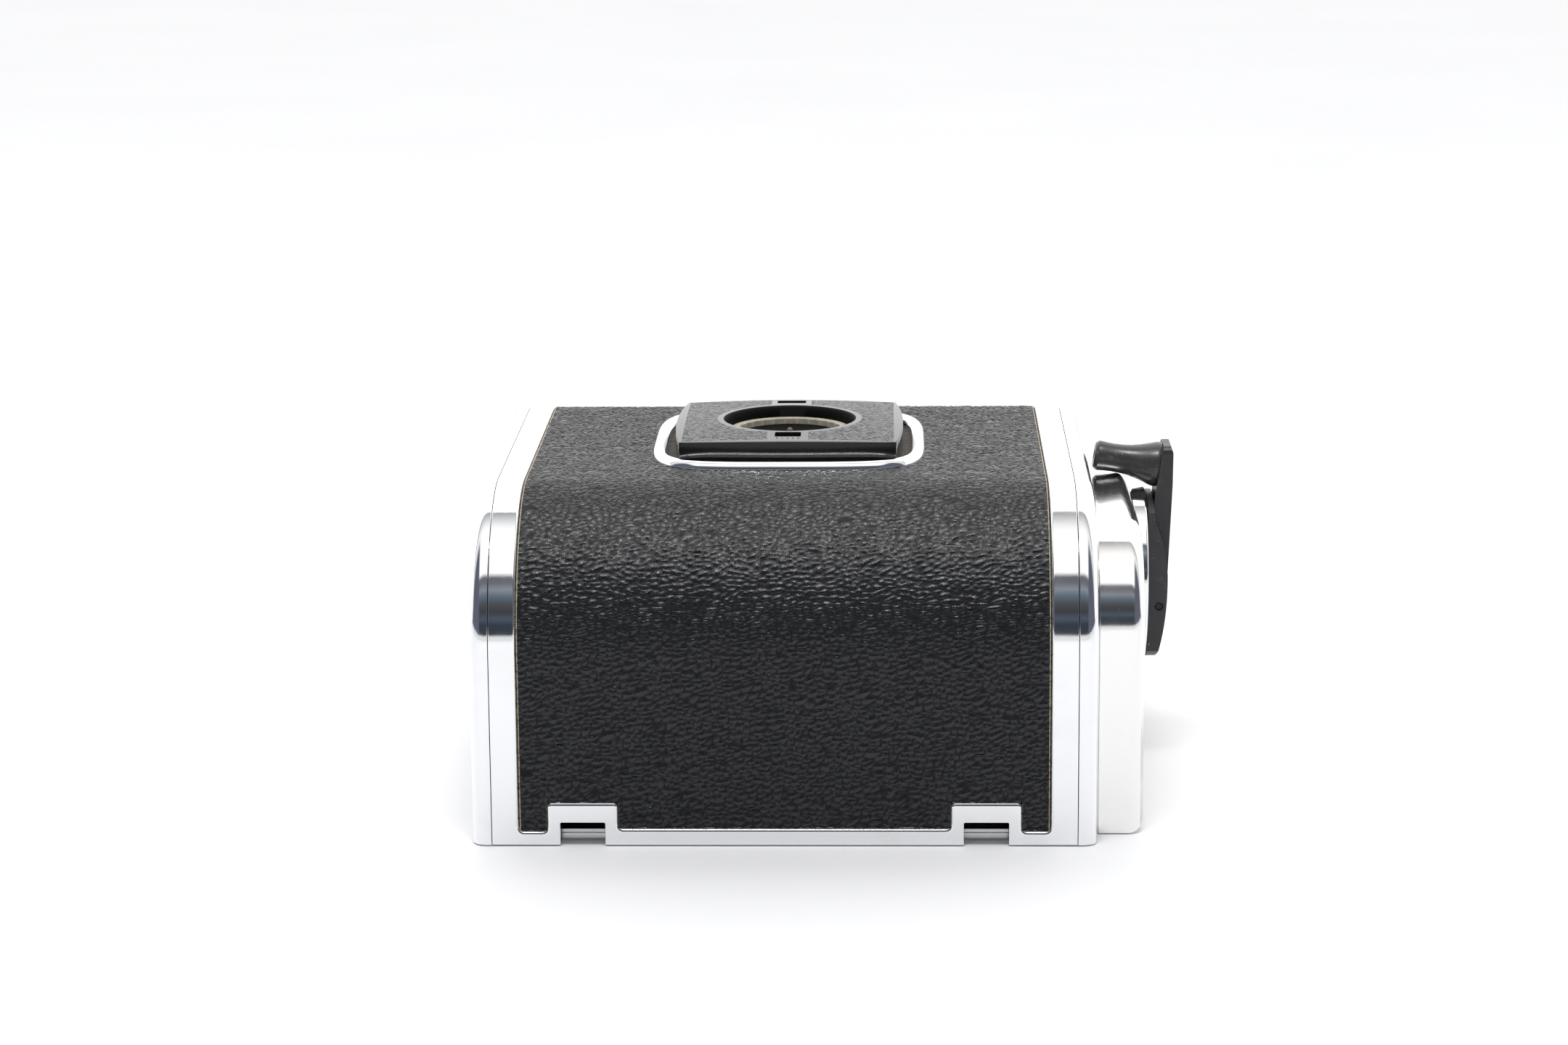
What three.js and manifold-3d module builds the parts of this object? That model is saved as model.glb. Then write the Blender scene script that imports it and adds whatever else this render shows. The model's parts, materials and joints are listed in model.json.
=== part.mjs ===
// Detachable roll-film magazine (film back) of a medium-format reflex camera.
// Millimetres. The magazine lies on its front, the film-gate face:
//   +X  towards the winding crank,  +Y  towards the upper end,  +Z  towards the rear.
// Pieces are drawn with X = 0 on the film's centre line, Y = 0 on the lower end
// and Z = 0 on the front face; the outermost group then centres the whole on X and Y.

import * as THREE from 'three';
import { mergeVertices } from 'three/addons/utils/BufferGeometryUtils.js';
import Module from 'manifold-3d';

const wasm = await Module();
wasm.setup();

// ---------- driving dimensions ----------
const LENGTH = 91;            // lower end to upper end
const MID_Y = LENGTH / 2;
const DEPTH = 46.8;           // front face to rear face of the casing
const CORNER_R = 20.5;        // rear corners of the casing
const WALL = 2.2;             // casing wall
const GAP = 0.3;              // clearance between neighbouring pieces
const SEAM_X = 39.8;          // seam between casing and side covers
const HALF_W = 42.55;         // outer face of the side covers
const EDGE_R = 1.8;           // rounding of the side covers' outer edges

const LEATHER_X = 35.96;      // half width of the leather covering
const LEATHER_T = 0.6;
const LEATHER_Z = 2.41;       // front edge of the leather
const TAB_Z = 5.9;            // height of the bare metal tabs
const TAB_HALF = 4.75;
const CATCH_TAB = 13;         // half width and height of the tab at the catch
const HOOK_X = 27.4;          // centre of the hook slots
const HOOK_HALF = 3.05;
const HOOK_Z = 3.14;

const GATE = 56;              // film opening, square
const PLATE_T = 1.6;          // front plate
const SLIDE_Z = [1.9, 3.0];   // dark-slide channel
const SLIDE_Y = [14, 77];
const RAIL_Z = [3.3, 4.5];    // film gate plate
const RAIL_X = 31;            // film rails, either side of the opening
const GATE_SCREWS = [[-36, 9.5], [36, 9.5], [-36, 81.5], [36, 81.5]];

const DIAL_HOLE = 9.4;
const DIAL_TOP = 50.25;
const DIAL_HALF = [16.3, 15.7];
const DIAL_CORNER = [15.3, 14.9];
const BEZEL_HALF = [19.5, 20];
const BEZEL_W = 2.1;
const BEZEL_TOP = 47.7;
const DIAL_FLOOR = DEPTH - 0.9;

const HOUSE_Y = [5.7, 85.3];  // gear housing
const HOUSE_TOP = 41.17;
const HOUSE_R = 14;
const HOUSE_X = 49;
const HOUSE_WALL = 1.2;

const SPOOL_Z = DEPTH - CORNER_R;         // both spool axes lie on the corner centres
const SUPPLY_Y = CORNER_R;
const TAKEUP_Y = LENGTH - CORNER_R;
const MODULE_MM = 1;                      // gear module
const CRANK_TEETH = 20;
const TAKEUP_TEETH = 21;
const IDLER_TEETH = 10;
const COUPLING_TEETH = 8;
const CRANK_Y = TAKEUP_Y - (CRANK_TEETH + TAKEUP_TEETH) * MODULE_MM / 2;
const CRANK_Z = SPOOL_Z;
const IDLER_Z = CRANK_Z - (CRANK_TEETH + IDLER_TEETH) * MODULE_MM / 2;
const COUPLING_Z = 6.5;
const COUPLING_Y = CRANK_Y
  + Math.sqrt(((IDLER_TEETH + COUPLING_TEETH) * MODULE_MM / 2) ** 2 - (IDLER_Z - COUPLING_Z) ** 2);
const GEAR_X = [43.5, 46.3];
const SHAFT_R = 3;

const BOSS_R = 13;
const BOSS_X = [HOUSE_X + GAP, 51.3];
const HUB_R = 12.2;
const HUB_X = 51.6;
const FOLD = { x: 53.3, z: 22.7 };        // fold pin of the crank arm
const ARM_HALF = 3.5;
const CHEEK = { inner: 3.85, outer: 6.6 };
const KNOB_BASE = { x: 53.05, z: 42.4, r: 3.2 };
const KNOB_TIP = { x: 44.4, z: 43.75 };

const COUNTER = { y: 76.5, z: 12 };
const STATUS = { y: 22, z: 14 };
const WINDOW_R = 2.4;
const SIGNAL_X = [46.9, 47.4];            // discs behind the windows
const POST_R = 1.2;

const OPEN_Y = [5.5, 85.5];               // mouth in the left side frame
const OPEN_Z = [5.3, 42.2];
const KEY = { y: MID_Y, z: 24, r: 12.6 };
const INSERT_SCREWS = [[11, 9], [80, 9], [14, 35], [77, 35]];
const ROLLER = { y: 10.6, z: 10.2, r: 2.3 };
const FLANGE_X = { left: [-37.8, -36.6], right: [36.8, 38] };
const CATCH = { z: 7.6, travel: 5 };

const FINE = 32;              // sides of a large round face
const PLAIN = 14;             // sides of a small one

// ---------- finishes ----------
const finish = (color, roughness, metalness) => ({ color, roughness, metalness });
const CHROME = finish(0xdfe1e4, 0.08, 1);
const SATIN = finish(0xb9bcc0, 0.35, 1);
const STEEL = finish(0x9a9da2, 0.3, 1);
const BRASS = finish(0xb79a55, 0.35, 1);
const BLACK_GLOSS = finish(0x0c0c0d, 0.2, 0);
const BLACK_MATT = finish(0x1d1d1f, 0.6, 0);
const LEATHER = finish(0x17181a, 0.5, 0);
const FELT = finish(0x111111, 0.95, 0);
const IVORY = finish(0xe8e2cf, 0.5, 0);
const RED = finish(0xb0231c, 0.5, 0);
const CLEAR = finish(0xdfe8ee, 0.05, 0);

// ---------- solids ----------
function solid(geometry) {
  const plain = geometry.clone();
  plain.deleteAttribute('normal');
  plain.deleteAttribute('uv');
  const merged = mergeVertices(plain, 1e-5);
  return new wasm.Manifold(new wasm.Mesh({
    numProp: 3,
    vertProperties: Float32Array.from(merged.attributes.position.array),
    triVerts: Uint32Array.from(merged.index.array),
  }));
}

function geometryOf(manifold) {
  const mesh = manifold.getMesh();
  const geometry = new THREE.BufferGeometry();
  geometry.setAttribute('position', new THREE.BufferAttribute(mesh.vertProperties, 3));
  geometry.setIndex(new THREE.BufferAttribute(mesh.triVerts, 1));
  geometry.computeVertexNormals();
  return geometry;
}

function join(...geometries) {
  return geometryOf(geometries.map(solid).reduce((whole, piece) => whole.add(piece)));
}

function cut(geometry, ...tools) {
  return geometryOf(tools.map(solid).reduce((whole, tool) => whole.subtract(tool), solid(geometry)));
}

function common(a, b) {
  return geometryOf(solid(a).intersect(solid(b)));
}

function block(x, y, z) {
  const box = new THREE.BoxGeometry(x[1] - x[0], y[1] - y[0], z[1] - z[0]);
  return box.translate((x[0] + x[1]) / 2, (y[0] + y[1]) / 2, (z[0] + z[1]) / 2);
}

// A round bar along X, Y or Z from a to b, centred on the other two coordinates.
function barX(r, [a, b], y = 0, z = 0, sides = PLAIN) {
  return new THREE.CylinderGeometry(r, r, b - a, sides).rotateZ(-Math.PI / 2).translate((a + b) / 2, y, z);
}

function barY(r, [a, b], x = 0, z = 0, sides = PLAIN) {
  return new THREE.CylinderGeometry(r, r, b - a, sides).translate(x, (a + b) / 2, z);
}

function barZ(r, [a, b], x = 0, y = 0, sides = PLAIN) {
  return new THREE.CylinderGeometry(r, r, b - a, sides).rotateX(Math.PI / 2).translate(x, y, (a + b) / 2);
}

function extrude(shape, depth, curveSegments = 10) {
  return new THREE.ExtrudeGeometry(shape, { depth, bevelEnabled: false, curveSegments });
}

// Outline drawn in (y, z), extruded along X.
function alongX(shape, [a, b], segments) {
  const swap = new THREE.Matrix4().set(0, 0, 1, a, 1, 0, 0, 0, 0, 1, 0, 0, 0, 0, 0, 1);
  return extrude(shape, b - a, segments).applyMatrix4(swap);
}

// The same, with its edge rounded off at the low or the high end.
function softAlongX(shape, [a, b], radius, end, segments) {
  const from = end === 'low' ? a + radius : a - 2 * radius;
  const to = end === 'low' ? b + 2 * radius : b - radius;
  const swap = new THREE.Matrix4().set(0, 0, 1, from, 1, 0, 0, 0, 0, 1, 0, 0, 0, 0, 0, 1);
  const bar = new THREE.ExtrudeGeometry(shape, {
    depth: to - from, curveSegments: segments, bevelEnabled: true, bevelSegments: 2,
    bevelThickness: radius, bevelSize: radius, bevelOffset: -radius,
  }).applyMatrix4(swap);
  return common(bar, block([a, b], [-1, LENGTH + 1], [-1, DEPTH + 1]));
}

// Outline drawn in (x, z), extruded along Y.
function alongY(shape, [a, b], segments) {
  return extrude(shape, b - a, segments).rotateX(Math.PI / 2).translate(0, b, 0);
}

// Outline drawn in (x, y), extruded along Z.
function alongZ(shape, [a, b], segments) {
  return extrude(shape, b - a, segments).translate(0, 0, a);
}

// Rectangle with its two rear (upper) corners rounded by R and its front ones by r.
function dee([y0, y1], [z0, z1], R, r = 0) {
  const shape = new THREE.Shape();
  shape.moveTo(y0 + r, z0);
  shape.lineTo(y1 - r, z0);
  if (r > 0) shape.absarc(y1 - r, z0 + r, r, -Math.PI / 2, 0);
  shape.lineTo(y1, z1 - R);
  shape.absarc(y1 - R, z1 - R, R, 0, Math.PI / 2);
  shape.lineTo(y0 + R, z1);
  shape.absarc(y0 + R, z1 - R, R, Math.PI / 2, Math.PI);
  shape.lineTo(y0, z0 + r);
  if (r > 0) shape.absarc(y0 + r, z0 + r, r, Math.PI, 1.5 * Math.PI);
  return shape;
}

// The casing's outline drawn in by a given distance.
function casingOutline(inset, z0 = 0) {
  return dee([inset, LENGTH - inset], [z0, DEPTH - inset], CORNER_R - inset);
}

// Rounded square with gently swelling sides.
function cushionOutline([halfX, halfY], swell = 5, points = 48) {
  const outline = [];
  for (let i = 0; i < points; i++) {
    const t = (i / points) * 2 * Math.PI;
    const c = Math.cos(t);
    const s = Math.sin(t);
    outline.push(new THREE.Vector2(
      halfX * Math.sign(c) * Math.abs(c) ** (2 / swell),
      MID_Y + halfY * Math.sign(s) * Math.abs(s) ** (2 / swell),
    ));
  }
  return new THREE.Shape(outline);
}

// Square with four crowned sides meeting at crisp corners.
function crownedOutline([halfX, halfY], [cornerX, cornerY]) {
  const bulgeX = 2 * halfX - cornerX;
  const bulgeY = 2 * halfY - cornerY;
  const shape = new THREE.Shape();
  shape.moveTo(cornerX, MID_Y - cornerY);
  shape.quadraticCurveTo(bulgeX, MID_Y, cornerX, MID_Y + cornerY);
  shape.quadraticCurveTo(0, MID_Y + bulgeY, -cornerX, MID_Y + cornerY);
  shape.quadraticCurveTo(-bulgeX, MID_Y, -cornerX, MID_Y - cornerY);
  shape.quadraticCurveTo(0, MID_Y - bulgeY, cornerX, MID_Y - cornerY);
  return shape;
}

// Spur gear on the X axis; a tooth stands on angle "start", measured from +Y towards +Z.
function gear(teeth, [a, b], bore, start = 0, size = MODULE_MM) {
  const pitch = (2 * Math.PI) / teeth;
  const root = teeth * size / 2 - 1.15 * size;
  const tip = teeth * size / 2 + 0.75 * size;
  const outline = [];
  const corner = (radius, angle) => outline.push(
    new THREE.Vector2(radius * Math.cos(angle), radius * Math.sin(angle)));
  for (let i = 0; i < teeth; i++) {
    const middle = start + i * pitch;
    corner(root, middle - 0.30 * pitch);
    corner(tip, middle - 0.10 * pitch);
    corner(tip, middle + 0.10 * pitch);
    corner(root, middle + 0.30 * pitch);
  }
  const shape = new THREE.Shape(outline);
  if (bore > 0) shape.holes.push(new THREE.Path().absarc(0, 0, bore, 0, 2 * Math.PI));
  return alongX(shape, [a, b], 8);
}

// ---------- scene graph ----------
function part(name, geometry, look) {
  const mesh = new THREE.Mesh(geometry, new THREE.MeshStandardMaterial(look));
  mesh.name = name;
  return mesh;
}

function group(position, ...children) {
  const node = new THREE.Group();
  node.position.set(...position);
  node.add(...children);
  return node;
}

function screw(name, head, shank, position, turn, look = STEEL) {
  const body = join(barZ(head.r, [0, head.h]), barZ(shank.r, [-shank.h, 0.01]));
  const slot = block([-head.r - 1, head.r + 1], [-0.25, 0.25], [head.h - 0.35, head.h + 1]);
  const mesh = part(name, cut(body, slot), look);
  mesh.position.set(...position);
  mesh.rotation.set(...turn);
  return mesh;
}

// ---------- casing ----------
function tabs(grow) {
  const z = [-1, TAB_Z + grow];
  const solids = [];
  for (const y of [[-1, 3], [LENGTH - 3, LENGTH + 1]]) {
    for (const side of [-1, 1]) {
      solids.push(block([side * HOOK_X - TAB_HALF - grow, side * HOOK_X + TAB_HALF + grow], y, z));
    }
  }
  const catchTab = block([-CATCH_TAB - grow, CATCH_TAB + grow], [LENGTH - 3, LENGTH + 1],
    [-1, CATCH_TAB + grow]);
  return [...solids, catchTab];
}

function casing() {
  const x = [-SEAM_X + GAP / 2, SEAM_X - GAP / 2];
  const wrap = cut(alongX(casingOutline(0), x, 8), alongX(casingOutline(WALL, -1), [-50, 50], 8));
  const recessX = [-LEATHER_X - GAP, LEATHER_X + GAP];
  const recess = cut(
    alongX(casingOutline(-1, LEATHER_Z - GAP), recessX, 8),
    alongX(casingOutline(LEATHER_T + GAP, -2), [-50, 50], 8),
    ...tabs(0),
  );
  const slots = [-1, 1].flatMap((side) => [[-1, 3], [LENGTH - 3, LENGTH + 1]].map((y) => block(
    [side * HOOK_X - HOOK_HALF, side * HOOK_X + HOOK_HALF], y, [-1, HOOK_Z])));
  const catchSlot = block([-6.5, 6.5 + CATCH.travel], [LENGTH - 3, LENGTH + 1],
    [CATCH.z - 2.3, CATCH.z + 2.3]);
  const dialBore = barZ(2.2, [DEPTH - 4, DEPTH + 1], 0, MID_Y);
  return part('casing_shell', cut(wrap, recess, ...slots, catchSlot, dialBore), CHROME);
}

function leatherette() {
  const x = [-LEATHER_X, LEATHER_X];
  const skin = cut(
    alongX(casingOutline(0, LEATHER_Z), x, 8),
    alongX(casingOutline(LEATHER_T, -1), [-50, 50], 8),
    ...tabs(GAP),
    alongZ(cushionOutline(BEZEL_HALF.map((half) => half + GAP)), [DEPTH - 3, DEPTH + 1]),
  );
  return part('leatherette', skin, LEATHER);
}

function leftFrame() {
  const plate = cut(
    softAlongX(casingOutline(0), [-HALF_W, -SEAM_X - GAP / 2], EDGE_R, 'low', 8),
    alongX(dee(OPEN_Y, OPEN_Z, 17, 2.3), [-50, -30], 6),
    block([-50, -30], SLIDE_Y, SLIDE_Z),
  );
  return part('left_side_frame', plate, CHROME);
}

function rightCover() {
  const inner = SEAM_X + GAP / 2;
  const posts = [[CRANK_Y, IDLER_Z], [COUPLING_Y, COUPLING_Z], [COUNTER.y, COUNTER.z], [STATUS.y, STATUS.z]]
    .map(([y, z]) => barX(POST_R, [inner + 1, SIGNAL_X[1]], y, z, 12));
  const plate = cut(
    softAlongX(casingOutline(0), [inner, HALF_W], EDGE_R, 'high', 8),
    barX(SHAFT_R - 0.4 + GAP, [30, 50], TAKEUP_Y, SPOOL_Z),
  );
  return part('right_side_cover', join(plate, ...posts), CHROME);
}

function frontPlate() {
  const half = SEAM_X - 0.5;
  const y = [WALL + GAP, LENGTH - WALL - GAP];
  const hooks = [-1, 1].flatMap((side) => [[4, 8], [LENGTH - 8, LENGTH - 4]].map((span) => block(
    [side * HOOK_X - HOOK_HALF, side * HOOK_X + HOOK_HALF], span, [-1, 3])));
  const plate = cut(
    block([-half, half], y, [0, PLATE_T]),
    block([-GATE / 2, GATE / 2], [MID_Y - GATE / 2, MID_Y + GATE / 2], [-1, 3]),
    ...hooks,
    ...GATE_SCREWS.map(([sx, sy]) => barZ(1.1, [-1, 3], sx, sy, 12)),
    ...GATE_SCREWS.map(([sx, sy]) => barZ(2, [-1, 1.2], sx, sy, 16)),
  );
  return part('front_plate', plate, SATIN);
}

function filmGate() {
  const half = SEAM_X - 0.5;
  const rails = [-1, 1].map((side) => block(
    [side * RAIL_X - 1.5, side * RAIL_X + 1.5], [15, 76], [RAIL_Z[1] - 0.1, RAIL_Z[1] + 0.4]));
  const plate = cut(
    block([-half, half], [6, LENGTH - 6], RAIL_Z),
    block([-GATE / 2, GATE / 2], [MID_Y - GATE / 2, MID_Y + GATE / 2], [0, 9]),
    ...GATE_SCREWS.map(([sx, sy]) => barZ(1.1, [0, 9], sx, sy, 12)),
  );
  return part('film_gate', join(plate, ...rails), BLACK_MATT);
}

function frontScrews() {
  return GATE_SCREWS.map(([x, y], i) => screw(
    `front_screw_${i + 1}`, { r: 1.7, h: 0.7 }, { r: 0.8, h: 3.2 }, [x, y, 0.8], [Math.PI, 0, 0.4 * i]));
}

function lightTrap() {
  const y = [SLIDE_Y[0] + 1, SLIDE_Y[1] - 1];
  return [
    part('light_trap_felt', block([-38.6, -35], y, [SLIDE_Z[0], SLIDE_Z[0] + 0.4]), FELT),
    part('light_trap_spring', block([-38.6, -35], y, [SLIDE_Z[1] - 0.3, SLIDE_Z[1]]), BRASS),
  ];
}

// ---------- film-speed dial on the rear ----------
function bezel() {
  const inner = BEZEL_HALF.map((half) => half - BEZEL_W);
  const ring = cut(
    alongZ(cushionOutline(BEZEL_HALF), [DIAL_FLOOR + GAP, BEZEL_TOP]),
    alongZ(cushionOutline(inner), [DIAL_FLOOR, BEZEL_TOP + 1]),
  );
  return part('dial_bezel', ring, CHROME);
}

function dialPlate() {
  const near = block([-1.8, 1.8], [MID_Y - 13.1, MID_Y - 10.6], [40, 60]);
  const far = block([-2.1, 2.1], [MID_Y + 11.6, MID_Y + 14.2], [40, 60]);
  const plate = cut(
    alongZ(crownedOutline(DIAL_HALF, DIAL_CORNER), [DIAL_FLOOR + GAP, DIAL_TOP], 12),
    barZ(DIAL_HOLE, [40, 60], 0, MID_Y, FINE),
    barZ(14.4, [40, 48.3], 0, MID_Y, FINE),
    near,
    far,
  );
  return part('dial_plate', plate, BLACK_GLOSS);
}

function speedDial() {
  const outer = 8.6;
  const scallop = 0.35;
  const lobes = 26;
  const outline = [];
  for (let i = 0; i < lobes * 4; i++) {
    const angle = (i / (lobes * 4)) * 2 * Math.PI;
    const radius = outer - scallop * (0.5 - 0.5 * Math.cos(lobes * angle));
    outline.push(new THREE.Vector2(radius * Math.cos(angle), radius * Math.sin(angle)));
  }
  const knurl = alongZ(new THREE.Shape(outline), [DIAL_FLOOR + GAP, 48.6]);
  const well = barZ(7.2, [47.4, 60], 0, 0, FINE);
  const disc = cut(knurl, well, barZ(1.5, [40, 60]));
  const scaleRing = cut(
    barZ(14, [DIAL_FLOOR + GAP, DIAL_FLOOR + 1.1], 0, 0, FINE),
    barZ(outer + GAP, [40, 60], 0, 0, FINE),
  );
  const pin = join(barZ(1.2, [43.2, 48.6]), barZ(0.7, [48.5, 48.9]));
  const nut = cut(barZ(3.4, [43, 44.3], 0, 0, 6), barZ(1.5, [40, 60]));
  return group([0, MID_Y, 0],
    part('speed_dial', disc, BLACK_MATT),
    part('speed_scale_disc', scaleRing, IVORY),
    part('speed_dial_pin', pin, STEEL),
    part('speed_dial_nut', nut, BRASS));
}

// ---------- gear housing and its discs ----------
function gearHousing() {
  const outer = softAlongX(dee(HOUSE_Y, [0, HOUSE_TOP], HOUSE_R), [HALF_W + GAP, HOUSE_X], EDGE_R, 'high', 8);
  const inner = alongX(
    dee([HOUSE_Y[0] + HOUSE_WALL, HOUSE_Y[1] - HOUSE_WALL], [HOUSE_WALL, HOUSE_TOP - HOUSE_WALL],
      HOUSE_R - HOUSE_WALL),
    [HALF_W - 1, HOUSE_X - HOUSE_WALL], 8);
  const gearMouth = block([GEAR_X[0] - 0.4, GEAR_X[1] + 0.4], [COUPLING_Y - 4, COUPLING_Y + 4], [-1, 3]);
  return part('gear_housing', cut(outer, inner, gearMouth,
    barX(SHAFT_R + GAP, [45, 55], CRANK_Y, CRANK_Z),
    barX(WINDOW_R + GAP, [45, 55], COUNTER.y, COUNTER.z + 4.6),
    barX(WINDOW_R + GAP, [45, 55], STATUS.y + 4.6, STATUS.z)), CHROME);
}

function windows() {
  const x = [HOUSE_X - 0.9, HOUSE_X - 0.3];
  return [
    part('counter_window', barX(WINDOW_R, x, COUNTER.y, COUNTER.z + 4.6), CLEAR),
    part('status_window', barX(WINDOW_R, x, STATUS.y + 4.6, STATUS.z), CLEAR),
  ];
}

function counter() {
  const bore = POST_R + GAP;
  const disc = cut(barX(7, SIGNAL_X, 0, 0, FINE), barX(bore, [40, 50]));
  const star = gear(12, [GEAR_X[0] + 0.4, GEAR_X[1] - 0.4], bore, 0, 0.6);
  return group([0, COUNTER.y, COUNTER.z],
    part('counter_disc', disc, IVORY),
    part('counter_star_wheel', star, BRASS));
}

function statusDisc() {
  const disc = cut(barX(7, SIGNAL_X, 0, 0, FINE), barX(POST_R + GAP, [40, 50]));
  return group([0, STATUS.y, STATUS.z], part('status_disc', disc, RED));
}

// ---------- gear train ----------
function gearTrain() {
  const bore = POST_R + GAP;
  const takeup = join(
    gear(TAKEUP_TEETH, GEAR_X, 0, Math.PI + Math.PI / TAKEUP_TEETH),
    barX(SHAFT_R - 0.5, [31.6, GEAR_X[0] + 0.5]),
  );
  // A crank tooth points straight at the idler, so a gap of the idler faces it.
  const idlerStart = Math.PI / 2 + Math.PI / IDLER_TEETH;
  const toCoupling = Math.atan2(COUPLING_Z - IDLER_Z, COUPLING_Y - CRANK_Y);
  // On the line of centres the coupling gear's tooth pattern mirrors the idler's, half a tooth on.
  const idlerPhase = (toCoupling - idlerStart) * IDLER_TEETH;
  const couplingStart = toCoupling + Math.PI + (idlerPhase + Math.PI) / COUPLING_TEETH;
  return [
    group([0, TAKEUP_Y, SPOOL_Z], part('takeup_gear', takeup, BRASS)),
    group([0, CRANK_Y, IDLER_Z], part('idler_gear', gear(IDLER_TEETH, GEAR_X, bore, idlerStart), BRASS)),
    group([0, COUPLING_Y, COUPLING_Z],
      part('coupling_gear', gear(COUPLING_TEETH, GEAR_X, bore, couplingStart), STEEL)),
  ];
}

// ---------- winding crank ----------
function crankBoss() {
  const ring = cut(barX(BOSS_R, BOSS_X, CRANK_Y, CRANK_Z, FINE),
    barX(SHAFT_R + GAP, [40, 60], CRANK_Y, CRANK_Z));
  return part('crank_boss', ring, CHROME);
}

// Side view of the hub, in (x, z) about the crank axis: a thin foot, a swollen middle, a sloping top.
function hubProfile() {
  const shape = new THREE.Shape();
  shape.moveTo(HUB_X, -HUB_R - 1);
  shape.lineTo(HUB_X + 1.1, -HUB_R);
  shape.quadraticCurveTo(HUB_X + 2.9, -HUB_R + 5.5, HUB_X + 2.9, 1);
  shape.quadraticCurveTo(HUB_X + 2.6, 5.5, HUB_X + 1.2, 8.2);
  shape.lineTo(HUB_X + 0.6, HUB_R + 1);
  shape.lineTo(HUB_X, HUB_R + 1);
  return shape;
}

function crankHub() {
  const body = common(
    barX(HUB_R, [HUB_X, HUB_X + 4], 0, 0, FINE),
    alongY(hubProfile(), [-HUB_R - 1, HUB_R + 1]),
  );
  const foldZ = FOLD.z - CRANK_Z;
  const channel = block([HUB_X + 0.75, 60], [-CHEEK.inner, CHEEK.inner], [foldZ - 0.5, 30]);
  const lowChannel = block([HUB_X + 0.4, 60], [-CHEEK.inner, CHEEK.inner], [-30, foldZ + 1.4]);
  const sides = [-1, 1].map((side) => block(
    [HUB_X - 1, 60], side > 0 ? [CHEEK.outer, 30] : [-30, -CHEEK.outer], [-30, 30]));
  return cut(body, channel, lowChannel, ...sides,
    barY(0.8, [-20, 20], FOLD.x, foldZ, 12),
    barX(1.5, [40, 60]),
    barX(2.3, [HUB_X + 0.15, 60]));
}

function armProfile() {
  const shape = new THREE.Shape();
  const root = 1.05;
  shape.moveTo(FOLD.x - root, FOLD.z);
  shape.absarc(FOLD.x, FOLD.z, root, Math.PI, 2 * Math.PI);
  shape.lineTo(54.7, 27.5);
  shape.lineTo(55.3, 44.8);
  shape.lineTo(54.9, 45.6);
  shape.lineTo(53.85, 45.6);
  shape.lineTo(52.8, 37.5);
  shape.lineTo(52.75, FOLD.z + 1.7);
  shape.lineTo(FOLD.x - root, FOLD.z + 0.6);
  return shape;
}

function crankArm() {
  const radius = ARM_HALF;
  const topZ = 45.6 - radius;
  const slab = alongY(armProfile(), [-ARM_HALF, ARM_HALF]);
  const rounding = join(
    block([40, 60], [-ARM_HALF, ARM_HALF], [10, topZ]),
    barX(radius, [40, 60], 0, topZ, FINE),
  );
  return cut(common(slab, rounding),
    barY(0.8, [-20, 20], FOLD.x, FOLD.z, 12),
    barX(1.2, [50, 60], 0, KNOB_BASE.z - 0.15, 12),
    barX(1.9, [54.3, 60], 0, KNOB_BASE.z - 0.2, 12));
}

// Waisted finger knob, turned about its own axis; s runs from the arm to the tip.
function knobAssembly() {
  const run = new THREE.Vector3(KNOB_TIP.x - KNOB_BASE.x, 0, KNOB_TIP.z - KNOB_BASE.z);
  const length = run.length();
  const profile = [[KNOB_BASE.r - 0.25, 0], [KNOB_BASE.r, 0.3], [2.6, 0.22 * length], [2.15, 0.45 * length],
    [1.9, 0.65 * length], [2.0, 0.85 * length], [2.15, length - 0.5], [1.7, length]];
  const outline = [new THREE.Vector2(0.9, 0), ...profile.map(([r, s]) => new THREE.Vector2(r, s)),
    new THREE.Vector2(0.9, length), new THREE.Vector2(0.9, 0)];
  const knob = part('crank_knob', new THREE.LatheGeometry(outline, 20), BLACK_MATT);
  const rivet = part('knob_rivet', join(
    barY(0.6, [-1.8, length - 0.4], 0, 0, 12), barY(1.5, [-2, -1.7], 0, 0, 12)), STEEL);
  const tilt = new THREE.Quaternion().setFromUnitVectors(new THREE.Vector3(0, 1, 0), run.normalize());
  const whole = group([KNOB_BASE.x, 0, KNOB_BASE.z], knob, rivet);
  whole.quaternion.copy(tilt);
  return whole;
}

function crank() {
  const shaft = cut(barX(SHAFT_R, [GEAR_X[0], BOSS_X[1]]), barX(1.3, [47.5, 60]));
  const crankGear = gear(CRANK_TEETH, GEAR_X, SHAFT_R + 0.3);
  const hubScrew = join(barX(2, [HUB_X + 0.45, HUB_X + 0.7]), barX(1, [48.2, HUB_X + 0.5], 0, 0, 12));
  const hub = group([0, 0, CRANK_Z],
    part('crank_shaft', shaft, STEEL),
    part('crank_gear', crankGear, BRASS),
    part('crank_hub', crankHub(), BLACK_MATT),
    part('crank_hub_screw', hubScrew, STEEL));
  const arm = group([0, 0, 0],
    part('crank_arm', crankArm(), BLACK_MATT),
    part('crank_fold_pin', barY(0.5, [-CHEEK.outer + 0.35, CHEEK.outer - 0.35], FOLD.x, FOLD.z, 12), STEEL),
    knobAssembly());
  return group([0, CRANK_Y, 0], hub, arm);
}

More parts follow.
